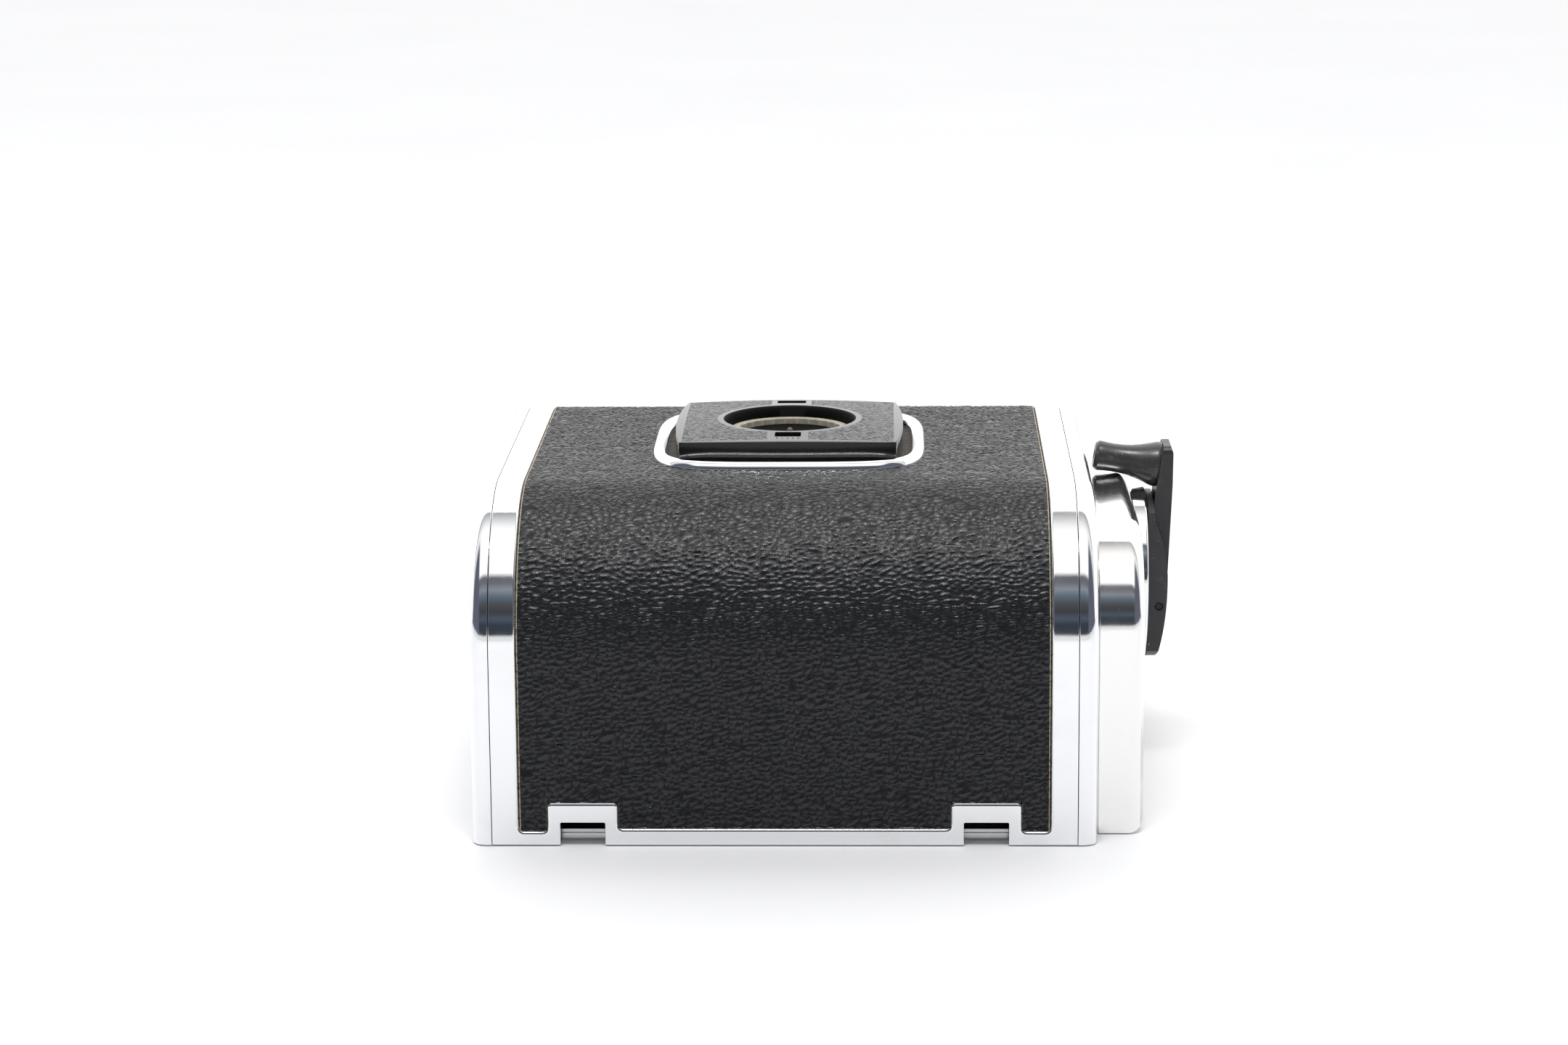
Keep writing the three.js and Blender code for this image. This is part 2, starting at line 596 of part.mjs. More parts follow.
// ---------- catch at the upper end ----------
function magazineCatch() {
  const y = [LENGTH - WALL - 2.3, LENGTH - WALL - GAP];
  const latch = cut(
    block([-34, 34], [y[0] - 5, y[0] + 1], [5.2, 6.2]),
    block([-6.5, 6.5], [0, y[0] - 1.5], [0, 9]),
  );
  const bridge = block([-5.8, 5.8], [y[0] - 0.5, y[1]], [5.2, CATCH.z + 2]);
  const button = join(
    block([-5.6, 5.6], [LENGTH - WALL + 0.01, LENGTH - 0.5], [CATCH.z - 1.9, CATCH.z + 1.9]),
    ...[-4, -2, 0, 2, 4].map((x) => block([x - 0.45, x + 0.45], [LENGTH - 0.8, LENGTH],
      [CATCH.z - 1.5, CATCH.z + 1.5])));
  return { slide: join(latch, bridge), button };
}

function catchParts() {
  const { slide, button } = magazineCatch();
  const coil = new THREE.Curve();
  coil.getPoint = (t, target = new THREE.Vector3()) => target.set(
    13 + 14 * t, 85 + 0.8 * Math.cos(2 * Math.PI * 5 * t), 7.7 + 0.8 * Math.sin(2 * Math.PI * 5 * t));
  const wire = new THREE.Shape().absarc(0, 0, 0.22, 0, 2 * Math.PI);
  const spring = new THREE.ExtrudeGeometry(wire,
    { steps: 40, bevelEnabled: false, extrudePath: coil, curveSegments: 3 });
  return [part('catch_slide', slide, STEEL), part('catch_button', button, CHROME),
    part('catch_spring', spring, STEEL)];
}

// ---------- film insert ----------
function insertEndPlate() {
  const plate = alongX(
    dee([OPEN_Y[0] + GAP, OPEN_Y[1] - GAP], [OPEN_Z[0] + GAP, OPEN_Z[1] - GAP], 16.7, 2),
    [-HALF_W + 0.3, -40.25], 10);
  return part('insert_end_plate', cut(plate,
    barX(KEY.r + 0.4, [-50, -HALF_W + 1.5], KEY.y, KEY.z, FINE),
    barX(2.3, [-50, -30], KEY.y, KEY.z),
    ...INSERT_SCREWS.map(([y, z]) => barX(1.1, [-50, -30], y, z, 12)),
    ...INSERT_SCREWS.map(([y, z]) => barX(1.9, [-50, -41], y, z, 12))), CHROME);
}

function insertFrame() {
  const outline = dee([8, 83], [7.6, 39.6], 14, 1);
  const panel = block([FLANGE_X.left[1] - 0.5, FLANGE_X.right[0] + 0.5], [16, 75], [8.8, 10]);
  const posts = INSERT_SCREWS.map(([y, z]) => barX(2.2, [-39.95, FLANGE_X.left[0] + 0.5], y, z, 16));
  const frame = join(alongX(outline, FLANGE_X.left), alongX(outline, FLANGE_X.right), panel, ...posts);
  const rollerHoles = [ROLLER.y, LENGTH - ROLLER.y].map((y) => barX(1.1, [-60, 60], y, ROLLER.z, 12));
  return part('insert_frame', cut(frame, ...rollerHoles,
    barX(SHAFT_R + 0.6, [0, 60], TAKEUP_Y, SPOOL_Z),
    barX(2.7, [-60, -10], TAKEUP_Y, SPOOL_Z),
    barX(2.7, [-60, 60], SUPPLY_Y, SPOOL_Z),
    barX(2.9, [-60, -30], KEY.y, KEY.z),
    ...INSERT_SCREWS.map(([y, z]) => barX(1.1, [-60, -30], y, z, 12))), BLACK_MATT);
}

function spool() {
  const ends = [-1, 1].map((side) => barX(12.4, side > 0 ? [31.6, 32.8] : [-32.8, -31.6], 0, 0, FINE));
  const core = barX(5.6, [-31.8, 31.8], 0, 0, 24);
  const whole = cut(join(core, ...ends), barX(3, [-60, -28]), barX(3, [28, 60]));
  return group([0, TAKEUP_Y, SPOOL_Z], part('takeup_spool', whole, BLACK_MATT));
}

function spoolPins() {
  const pin = (name, span, collar, y) => group([0, y, SPOOL_Z],
    part(name, join(barX(2.4, span), barX(4, collar)), STEEL));
  const left = [[-38.4, -31], [-36.3, -35.1]];
  const right = [[31, 38.4], [35.3, 36.5]];
  return [
    pin('spool_pin_supply_left', ...left, SUPPLY_Y),
    pin('spool_pin_supply_right', ...right, SUPPLY_Y),
    pin('spool_pin_takeup_left', ...left, TAKEUP_Y),
  ];
}

function rollers() {
  return [['film_roller_lower', ROLLER.y], ['film_roller_upper', LENGTH - ROLLER.y]].map(([name, y]) => {
    const roller = join(barX(ROLLER.r, [-35.8, 35.8]), barX(0.8, [-37.4, 37.6], 0, 0, 12));
    return group([0, y, ROLLER.z], part(name, roller, STEEL));
  });
}

function pressureParts() {
  const plate = block([-31.5, 31.5], [16.5, 74.5], [5.6, 6.6]);
  const bow = new THREE.Shape();
  const half = 21;
  const rise = 1.2;
  bow.moveTo(MID_Y - half, 6.9);
  bow.quadraticCurveTo(MID_Y, 6.9 + 2 * rise, MID_Y + half, 6.9);
  bow.lineTo(MID_Y + half, 7.2);
  bow.quadraticCurveTo(MID_Y, 7.2 + 2 * rise, MID_Y - half, 7.2);
  return [
    part('pressure_plate', plate, BLACK_GLOSS),
    part('pressure_spring', alongX(bow, [-12, 12]), STEEL),
  ];
}

function insertKey() {
  const hub = join(barX(3, [-HALF_W + 0.6, -HALF_W + 1.2]), barX(2, [-HALF_W + 1, -36.2]));
  const ears = [-1, 1].map((side) => block(
    [-HALF_W + 0.3, -HALF_W + 0.7], side > 0 ? [1.9, 2.9] : [-2.9, -1.9], [-0.7, 0.7]));
  const bar = cut(block([-39.5, -38.3], [-3, 3], [-16, 16]), barX(2.3, [-60, 60]));
  const bowOuter = barX(11.6, [-HALF_W + 0.35, -HALF_W + 1.1], 0, 0, FINE);
  const bow = cut(bowOuter,
    barX(8.6, [-60, 0], 0, 0, FINE),
    block([-60, 0], [-20, 20], [-20, 0]));
  const legs = [-1, 1].map((side) => block(
    [-HALF_W + 0.35, -HALF_W + 1.1], side > 0 ? [3.2, 10] : [-10, -3.2], [-0.6, 0.6]));
  return group([0, KEY.y, KEY.z],
    part('insert_key', join(hub, ...ears), STEEL),
    part('key_lock_bar', bar, STEEL),
    part('key_bow', join(bow, ...legs), CHROME));
}

function insertScrews() {
  return INSERT_SCREWS.map(([y, z], i) => screw(
    `insert_screw_${i + 1}`, { r: 1.6, h: 1.3 }, { r: 0.8, h: 2.6 }, [-41.3, y, z], [0, -Math.PI / 2, 0]));
}

function filmInsert() {
  return group([0, 0, 0], insertEndPlate(), insertFrame(), insertKey(), ...insertScrews(), spool(),
    ...spoolPins(), ...rollers(), ...pressureParts());
}

// ---------- whole magazine ----------
const drawn = group([0, 0, 0],
  casing(), leatherette(), leftFrame(), rightCover(), frontPlate(), filmGate(), ...frontScrews(),
  ...lightTrap(), bezel(), dialPlate(), speedDial(), gearHousing(), ...windows(), counter(), statusDisc(),
  ...gearTrain(), crankBoss(), crank(), ...catchParts(), filmInsert());

const bounds = new THREE.Box3().setFromObject(drawn, true);
drawn.position.set(-(bounds.min.x + bounds.max.x) / 2, -(bounds.min.y + bounds.max.y) / 2, 0);

const magazine = new THREE.Group();
magazine.add(drawn);

export default magazine;
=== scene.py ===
import json
import math

import bmesh
import bpy
import numpy as np
from mathutils import Matrix, Vector, geometry


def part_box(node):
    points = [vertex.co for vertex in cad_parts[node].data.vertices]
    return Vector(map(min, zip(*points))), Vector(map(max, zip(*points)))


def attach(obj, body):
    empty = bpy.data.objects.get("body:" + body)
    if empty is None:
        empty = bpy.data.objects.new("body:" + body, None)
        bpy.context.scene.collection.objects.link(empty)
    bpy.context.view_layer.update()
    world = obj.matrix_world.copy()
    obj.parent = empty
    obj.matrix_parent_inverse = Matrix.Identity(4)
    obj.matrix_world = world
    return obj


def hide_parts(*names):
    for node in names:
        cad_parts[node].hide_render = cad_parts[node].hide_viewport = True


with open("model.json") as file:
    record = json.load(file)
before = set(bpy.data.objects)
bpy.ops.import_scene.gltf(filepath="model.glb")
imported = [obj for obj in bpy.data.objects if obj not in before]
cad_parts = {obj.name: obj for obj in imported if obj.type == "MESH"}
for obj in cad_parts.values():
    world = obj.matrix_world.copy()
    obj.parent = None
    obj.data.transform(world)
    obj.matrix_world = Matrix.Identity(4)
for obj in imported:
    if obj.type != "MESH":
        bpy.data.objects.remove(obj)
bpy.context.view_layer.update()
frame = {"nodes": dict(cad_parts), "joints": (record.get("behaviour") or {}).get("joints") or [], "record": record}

# ---------- drawing coordinates ----------
# Pieces are drawn in millimetres from the casing: x from its middle, y from its lower end, z from its front.
MM = 0.001
case_low, case_high = (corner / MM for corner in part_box("casing_shell"))
X0 = (case_low.x + case_high.x) / 2
Y0 = case_low.y
LENGTH = case_high.y - case_low.y
DEPTH = case_high.z
MID_Y = LENGTH / 2
SIDE_X = X0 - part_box("left_side_frame")[0].x / MM
SEAM_X = 39.8
SEAM = 0.035
CORNER_R = 20.5
WALL = 2.2


def drawn(point):
    """A row-frame point in metres, in drawing coordinates."""
    return Vector((point[0] / MM - X0, point[1] / MM - Y0, point[2] / MM))


def in_frame(points):
    """Rows of drawing coordinates, in the row frame in metres."""
    return (points + (X0, Y0, 0)) * MM


def node_box(node):
    low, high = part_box(node)
    return drawn(low), drawn(high)


def node_middle(node):
    low, high = node_box(node)
    return (low + high) / 2


def joint(name):
    return next(j for j in frame["joints"] if j["name"] == name)


def joint_point(name):
    return drawn(joint(name)["pos_m"])


# ---------- outlines ----------
def rounded(corners, steps=6):
    """Closed outline through corners (x, y, radius), each one rounded by its radius."""
    outline = []
    count = len(corners)
    for i, (x, y, radius) in enumerate(corners):
        here = Vector((x, y))
        before = Vector(corners[i - 1][:2]) - here
        after = Vector(corners[(i + 1) % count][:2]) - here
        if radius <= 0:
            outline.append(here)
            continue
        before.normalize()
        after.normalize()
        half = before.angle(after) / 2
        centre = here + (before + after).normalized() * (radius / math.sin(half))
        start = here + before * (radius / math.tan(half)) - centre
        stop = here + after * (radius / math.tan(half)) - centre
        turn = start.angle_signed(stop)
        for k in range(steps + 1):
            angle = math.atan2(start.y, start.x) - turn * k / steps
            outline.append(centre + Vector((math.cos(angle), math.sin(angle))) * radius)
    return np.array([tuple(p) for p in outline])


def dee(y, z, rear_radius, front_radius=0.0, steps=40):
    """Side view of the casing and of what shares its form: two large rear corners."""
    return rounded([(y[0], z[0], front_radius), (y[1], z[0], front_radius),
                    (y[1], z[1], rear_radius), (y[0], z[1], rear_radius)], steps)


def circle(radius, x=0.0, y=0.0, steps=64):
    angle = np.linspace(0, 2 * math.pi, steps, endpoint=False)
    return np.stack([x + radius * np.cos(angle), y + radius * np.sin(angle)], 1)


def rectangle(x, y, radius=0.0, steps=6):
    return dee(x, y, radius, radius, steps)


def cushion(half_x, half_y, swell, steps=200):
    """Rounded square with gently swelling sides, about the dial's centre."""
    angle = np.linspace(0, 2 * math.pi, steps, endpoint=False)
    c, s = np.cos(angle), np.sin(angle)
    x = half_x * np.sign(c) * np.abs(c) ** (2 / swell)
    y = half_y * np.sign(s) * np.abs(s) ** (2 / swell)
    return np.stack([x, MID_Y + y], 1)


def bezier(t, a, b, c):
    """Point at t on the curve from a to c, pulled towards b."""
    return tuple((1 - t) ** 2 * i + 2 * t * (1 - t) * j + t * t * k for i, j, k in zip(a, b, c))


def area(outline):
    x, y = outline[:, 0], outline[:, 1]
    return 0.5 * float(np.sum(x * np.roll(y, -1) - np.roll(x, -1) * y))


def inset(outline, distance):
    """The outline moved to its left by a distance, into the material."""
    before = outline - np.roll(outline, 1, 0)
    after = np.roll(outline, -1, 0) - outline
    normals = []
    for step in (before, after):
        length = np.maximum(np.linalg.norm(step, axis=1, keepdims=True), 1e-9)
        normals.append(np.stack([-step[:, 1], step[:, 0]], 1) / length)
    cosine = np.sum(normals[0] * normals[1], 1, keepdims=True)
    return outline + (normals[0] + normals[1]) / np.maximum(1 + cosine, 0.2) * distance


# ---------- mappings from (u, v, height) to drawing coordinates ----------
def along_x(p):
    return np.stack([p[:, 2], p[:, 0], p[:, 1]], 1)


def along_y(p):
    return np.stack([p[:, 0], p[:, 2], p[:, 1]], 1)


def along_z(p):
    return p


ALONG = {"x": along_x, "y": along_y, "z": along_z}


STRAIGHT = DEPTH - CORNER_R
BEND = CORNER_R * math.pi / 2
FLAT = LENGTH - 2 * CORNER_R
GIRTH = 2 * STRAIGHT + 2 * BEND + FLAT


def wrapped(p):
    """Lays (x, distance round the casing, height above its face) round the casing's outer face."""
    x, s, h = p[:, 0], p[:, 1], p[:, 2]
    mirrored = s > GIRTH / 2
    t = np.where(mirrored, GIRTH - s, s)
    angle = np.clip((t - STRAIGHT) / CORNER_R, 0, math.pi / 2)
    radius = CORNER_R + h
    y = CORNER_R - radius * np.cos(angle) + np.maximum(t - STRAIGHT - BEND, 0)
    z = np.minimum(t, STRAIGHT) + radius * np.sin(angle)
    return np.stack([x, np.where(mirrored, LENGTH - y, y), z], 1)


def bend_cuts(steps=36):
    near = [STRAIGHT + BEND * k / steps for k in range(steps + 1)]
    return near + [GIRTH - s for s in near]


# ---------- making pieces ----------
MERGE_M = 2e-7
DEGENERATE_M = 1e-8


def finish_mesh(name, bm, sharp=32, weighted=True):
    bmesh.ops.remove_doubles(bm, verts=bm.verts, dist=MERGE_M)
    bmesh.ops.dissolve_degenerate(bm, edges=bm.edges, dist=DEGENERATE_M)
    bmesh.ops.recalc_face_normals(bm, faces=bm.faces)
    mesh = bpy.data.meshes.new(name)
    bm.to_mesh(mesh)
    bm.free()
    obj = bpy.data.objects.new(name, mesh)
    bpy.context.scene.collection.objects.link(obj)
    mesh.shade_smooth()
    mesh.set_sharp_from_angle(angle=math.radians(sharp))
    if weighted:
        modifier = obj.modifiers.new("even_normals", "WEIGHTED_NORMAL")
        modifier.keep_sharp = True
    return obj


def solid_from(name, points, faces, mapping=along_z, cuts=(), floor=None):
    """A mesh of (u, v, height) points and faces, cut across v at each of cuts, then mapped into place.
    What lies below v = floor is cut off."""
    bm = bmesh.new()
    verts = [bm.verts.new(p) for p in points]
    for face in faces:
        if len(set(face)) == len(face):
            bm.faces.new([verts[i] for i in face])

    def bisect(v, **options):
        return bmesh.ops.bisect_plane(bm, geom=bm.verts[:] + bm.edges[:] + bm.faces[:], dist=1e-5,
                                      plane_co=(0, v, 0), plane_no=(0, 1, 0), **options)

    for v in cuts:
        bisect(v)
    if floor is not None:
        made = bisect(floor, clear_inner=True)
        rim = [e for e in made["geom_cut"] if isinstance(e, bmesh.types.BMEdge)]
        bmesh.ops.holes_fill(bm, edges=rim)
    placed = in_frame(mapping(np.array([v.co[:] for v in bm.verts], float)))
    for vert, co in zip(bm.verts, placed):
        vert.co = co
    return finish_mesh(name, bm)


def fillet(soft, steps):
    """Offsets (inwards, away from the face) round a rounded edge, from its face to its side."""
    turns = [math.pi / 2 * k / steps for k in range(steps + 1 if soft > 0 else 1)]
    return [(soft * (1 - math.sin(a)), soft * (1 - math.cos(a))) for a in turns]


def plate(name, loops, low, high, mapping=along_z, cuts=(), steps=5, floor=None):
    """Plate between two heights. Each loop is (outline, rounding at the top, rounding at the bottom).
    The first loop is the outside and the others are holes."""
    points, faces, caps = [], [], {"low": [], "high": []}
    for order, (outline, soft_high, soft_low) in enumerate(loops):
        if (area(outline) > 0) == (order > 0):
            outline = outline[::-1]
        profile = [(inwards, low + away) for inwards, away in fillet(soft_low, steps)]
        profile += [(away, high - inwards) for inwards, away in fillet(soft_high, steps)]
        count = len(outline)
        start = len(points)
        for distance, height in profile:
            ring = inset(outline, distance) if distance else outline
            points += [(u, v, height) for u, v in ring]
        for k in range(len(profile) - 1):
            for i in range(count):
                a = start + k * count + i
                b = start + k * count + (i + 1) % count
                faces.append((a, b, b + count, a + count))
        last = start + (len(profile) - 1) * count
        caps["low"].append(range(start, start + count))
        caps["high"].append(range(last, last + count))
    for rims in caps.values():
        index = [i for rim in rims for i in rim]
        polylines = [[Vector(points[i]) for i in rim] for rim in rims]
        faces += [tuple(index[i] for i in triangle) for triangle in geometry.tessellate_polygon(polylines)]
    return solid_from(name, points, faces, mapping, cuts, floor)


def rings_solid(name, rings, mapping=along_z, closed=True):
    """Skin through rings of equal length; the last ring joins the first if closed."""
    count = len(rings[0])
    points = [tuple(p) for ring in rings for p in ring]
    faces = []
    for k in range(len(rings) if closed else len(rings) - 1):
        step = ((k + 1) % len(rings)) * count - k * count
        for i in range(count):
            a, b = k * count + i, k * count + (i + 1) % count
            faces.append((a, b, b + step, a + step))
    return solid_from(name, points, faces, mapping)


def turned(name, profile, centre=(0, 0, 0), axis="x", steps=64):
    """Turned piece: profile is (radius, distance along the axis), from axis to axis or closed on itself."""
    rings = [np.column_stack([circle(radius, steps=steps), np.full(steps, along)])
             for radius, along in profile]
    closed = profile[0][0] > 0 or profile[-1][0] > 0
    return rings_solid(name, rings, lambda p: ALONG[axis](p) + centre, closed)


def both_ends(low, high, end):
    """Profile for turned() with two like ends; end lists (radius, distance from the end)."""
    return [(r, low + d) for r, d in end] + [(r, high - d) for r, d in reversed(end)]


def soft_bar(radius, low, high, soft=0.2, bore=0.0, steps=4):
    """Profile of a round bar or ring with rounded rims, for turned()."""
    rim = [(radius - inwards, away) for inwards, away in fillet(soft, steps)]
    return both_ends(low, high, [(bore, 0), *rim])


def box_solid(name, x, y, z, soft=0.0):
    return plate(name, [(rectangle(x, y, soft, 4), soft, soft)], *z, steps=3)


def combine(obj, tools, operation="DIFFERENCE"):
    """Cuts the tools out of obj, or joins or crosses them with it, and removes the tools."""
    for modifier in list(obj.modifiers):
        obj.modifiers.remove(modifier)
    for tool in tools:
        modifier = obj.modifiers.new("cut", "BOOLEAN")
        modifier.operation = operation
        modifier.solver = "EXACT"
        modifier.object = tool
    evaluated = obj.evaluated_get(bpy.context.evaluated_depsgraph_get())
    result = bpy.data.meshes.new_from_object(evaluated)
    bm = bmesh.new()
    bm.from_mesh(result)
    name = obj.name
    for old in [obj, *tools]:
        bpy.data.objects.remove(old)
    return finish_mesh(name, bm)


def soften(obj, width):
    """Rounds every sharp edge of obj."""
    modifier = obj.modifiers.new("rounded_edges", "BEVEL")
    modifier.width = width * MM
    modifier.segments = 3
    modifier.limit_method = "ANGLE"
    modifier.angle_limit = math.radians(35)
    modifier.harden_normals = False
    obj.modifiers.move(len(obj.modifiers) - 1, 0)
    return obj


def dress(obj, material, body="magazine", *stands_for, slot=None):
    """Gives a piece its material, its body and the CAD nodes that it stands for. The slot argument is not used."""
    if not obj.data.materials:
        obj.data.materials.append(material)
    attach(obj, body)
    if stands_for:
        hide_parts(*stands_for)


# ---------- materials ----------
class Nodes:
    """Short ways to add nodes to a tree and to link them."""

    def __init__(self, tree):
        self.tree = tree

    def node(self, kind, **values):
        made = self.tree.nodes.new(kind)
        for key, value in values.items():
            setattr(made, key, value)
        return made

    def link(self, a, b):
        self.tree.links.new(a, b)

    def feed(self, socket, value):
        """Sets a number or a colour, or links an output."""
        if isinstance(value, (int, float)):
            socket.default_value = value
        elif isinstance(value, tuple):
            socket.default_value = (*value, 1)
        else:
            self.link(value, socket)

    def ramp(self, value, stops):
        """Maps value through (position, number or colour) stops."""
        made = self.node("ShaderNodeValToRGB")
        elements = made.color_ramp.elements
        while len(elements) < len(stops):
            elements.new(0.5)
        for element, (position, shade) in zip(elements, stops):
            element.position = position
            element.color = (*shade, 1) if isinstance(shade, tuple) else (shade, shade, shade, 1)
        self.link(value, made.inputs["Fac"])
        return made.outputs["Color"]

    def math(self, operation, a, b=0.0):
        made = self.node("ShaderNodeMath", operation=operation)
        self.feed(made.inputs[0], a)
        self.feed(made.inputs[1], b)
        return made.outputs["Value"]

    def mix(self, factor, a, b):
        """Blends two colours, given as outputs or as tuples."""
        made = self.node("ShaderNodeMix", data_type="RGBA")
        self.link(factor, made.inputs["Factor"])
        self.feed(made.inputs["A"], a)
        self.feed(made.inputs["B"], b)
        return made.outputs["Result"]


class Surface(Nodes):
    """A Principled material."""

    def __init__(self, name, **values):
        self.material = bpy.data.materials.new(name)
        self.material.use_nodes = True
        super().__init__(self.material.node_tree)
        self.shader = self.tree.nodes["Principled BSDF"]
        for socket, value in values.items():
            self.shader.inputs[socket.replace("_", " ")].default_value = value
        self.normal = None

    def coords(self, per_mm=1):
        """Object coordinates, with the given number of units for each millimetre, or one for each axis."""
        where = self.node("ShaderNodeTexCoord")
        scale = self.node("ShaderNodeMapping")
        per_axis = per_mm if isinstance(per_mm, tuple) else (per_mm,) * 3
        scale.inputs["Scale"].default_value = [1000 * s for s in per_axis]
        self.link(where.outputs["Object"], scale.inputs["Vector"])
        return scale.outputs["Vector"]

    def noise(self, per_mm, detail=4.0, rough=0.6, distortion=0.0):
        made = self.node("ShaderNodeTexNoise")
        made.inputs["Scale"].default_value = 1
        made.inputs["Detail"].default_value = detail
        made.inputs["Roughness"].default_value = rough
        made.inputs["Distortion"].default_value = distortion
        self.link(self.coords(per_mm), made.inputs["Vector"])
        return made.outputs["Fac"]

    def cloud(self, per_mm, detail, rough, *stops):
        """Noise mapped through stops."""
        return self.ramp(self.noise(per_mm, detail, rough), stops)

    def cells(self, per_mm, output="Distance"):
        made = self.node("ShaderNodeTexVoronoi", feature="F1")
        made.inputs["Scale"].default_value = 1
        self.link(self.coords(per_mm), made.inputs["Vector"])
        return made.outputs[output]

    def paint(self, socket, value):
        self.link(value, self.shader.inputs[socket])

    def bump(self, height, millimetres, strength=1.0):
        """Adds relief whose full height is the given number of millimetres."""
        made = self.node("ShaderNodeBump")
        made.inputs["Strength"].default_value = strength
        made.inputs["Distance"].default_value = millimetres * MM
        self.link(height, made.inputs["Height"])
        if self.normal:
            self.link(self.normal, made.inputs["Normal"])
        self.normal = made.outputs["Normal"]
        self.link(self.normal, self.shader.inputs["Normal"])


def specks(surface, per_mm, share, size):
    """Sparse small dots: 1 inside a speck and 0 elsewhere."""
    near = surface.math("LESS_THAN", surface.cells(per_mm), size)
    chosen = surface.node("ShaderNodeSeparateColor")
    surface.link(surface.cells(per_mm, output="Color"), chosen.inputs["Color"])
    rare = surface.math("GREATER_THAN", chosen.outputs["Red"], 1 - share)
    return surface.math("MULTIPLY", near, rare)


def polished_metal(name, colour, rough, haze, grain, dulled=(0.6, 0.58, 0.55)):
    """Bright metal with handling haze, hairline scratches and a few pits."""
    s = Surface(name, Metallic=1.0)
    tarnish = s.cloud(0.05, 5, 0.65, (0.52, 0.0), (0.78, haze))
    pits = specks(s, 1.1, 0.06, 0.06)
    colour_now = s.mix(tarnish, colour, dulled)
    s.paint("Base Color", s.mix(pits, colour_now, (0.35, 0.34, 0.33)))
    cloud = s.cloud(0.12, 6, 0.7, (0.35, rough), (0.75, rough + 0.07))
    fine = s.cloud(grain, 3, 0.8, (0.45, 0.0), (0.75, 0.06))
    s.paint("Roughness", s.math("ADD", s.math("ADD", cloud, fine), s.math("MULTIPLY", pits, 0.3)))
    s.bump(s.noise(grain, 2, 0.7), 0.0012)
    s.bump(s.noise(0.06, 2, 0.5), 0.02)
    return s.material


def moulded(name, colour, rough, wear=(0.16, 0.16, 0.165)):
    """Hard black moulding or paint: faint texture, dust and pale scuffs."""
    s = Surface(name, IOR=1.5)
    scuff = s.cloud(0.35, 8, 0.75, (0.60, 0.0), (0.80, 0.45))
    dust = specks(s, 1.8, 0.08, 0.13)
    worn = s.mix(scuff, colour, wear)
    s.paint("Base Color", s.mix(dust, worn, (0.45, 0.44, 0.42)))
    s.paint("Roughness", s.cloud(0.6, 5, 0.7, (0.3, rough - 0.06), (0.75, rough + 0.14)))
    s.bump(s.noise(7.0, 4, 0.7), 0.008)
    return s.material


def leather_material():
    s = Surface("pebbled_leather", IOR=1.52)
    wrinkle = s.noise((1.6, 2.6, 2.6), 6, 0.65, 0.4)
    pores = s.cells((3.2, 4.2, 4.2))
    dust = specks(s, 0.45, 0.10, 0.03)
    tone = s.cloud(0.05, 5, 0.6, (0.3, (0.0016, 0.0019, 0.0034)), (0.7, (0.0032, 0.0036, 0.0058)))
    s.paint("Base Color", s.mix(dust, tone, (0.55, 0.54, 0.52)))
    crest = s.node("ShaderNodeAttribute", attribute_name="crest").outputs["Fac"]
    worn = s.ramp(crest, [(0.20, 0.48), (0.70, 0.19)])
    s.paint("Roughness", s.math("ADD", worn, s.ramp(wrinkle, [(0.35, 0.12), (0.62, 0.0)])))
    s.paint("Specular IOR Level", s.ramp(crest, [(0.15, 0.22), (0.60, 0.5)]))
    s.bump(wrinkle, 0.08, 0.7)
    s.bump(pores, 0.04, 0.6)
    return s.material


def cut_edge_material():
    s = Surface("leather_cut_edge", Roughness=0.8)
    s.paint("Base Color", s.cloud(2.0, 4, 0.7, (0.36, (0.10, 0.09, 0.075)), (0.50, (0.42, 0.37, 0.28))))
    s.bump(s.noise(6.0, 3, 0.7), 0.03)
    return s.material


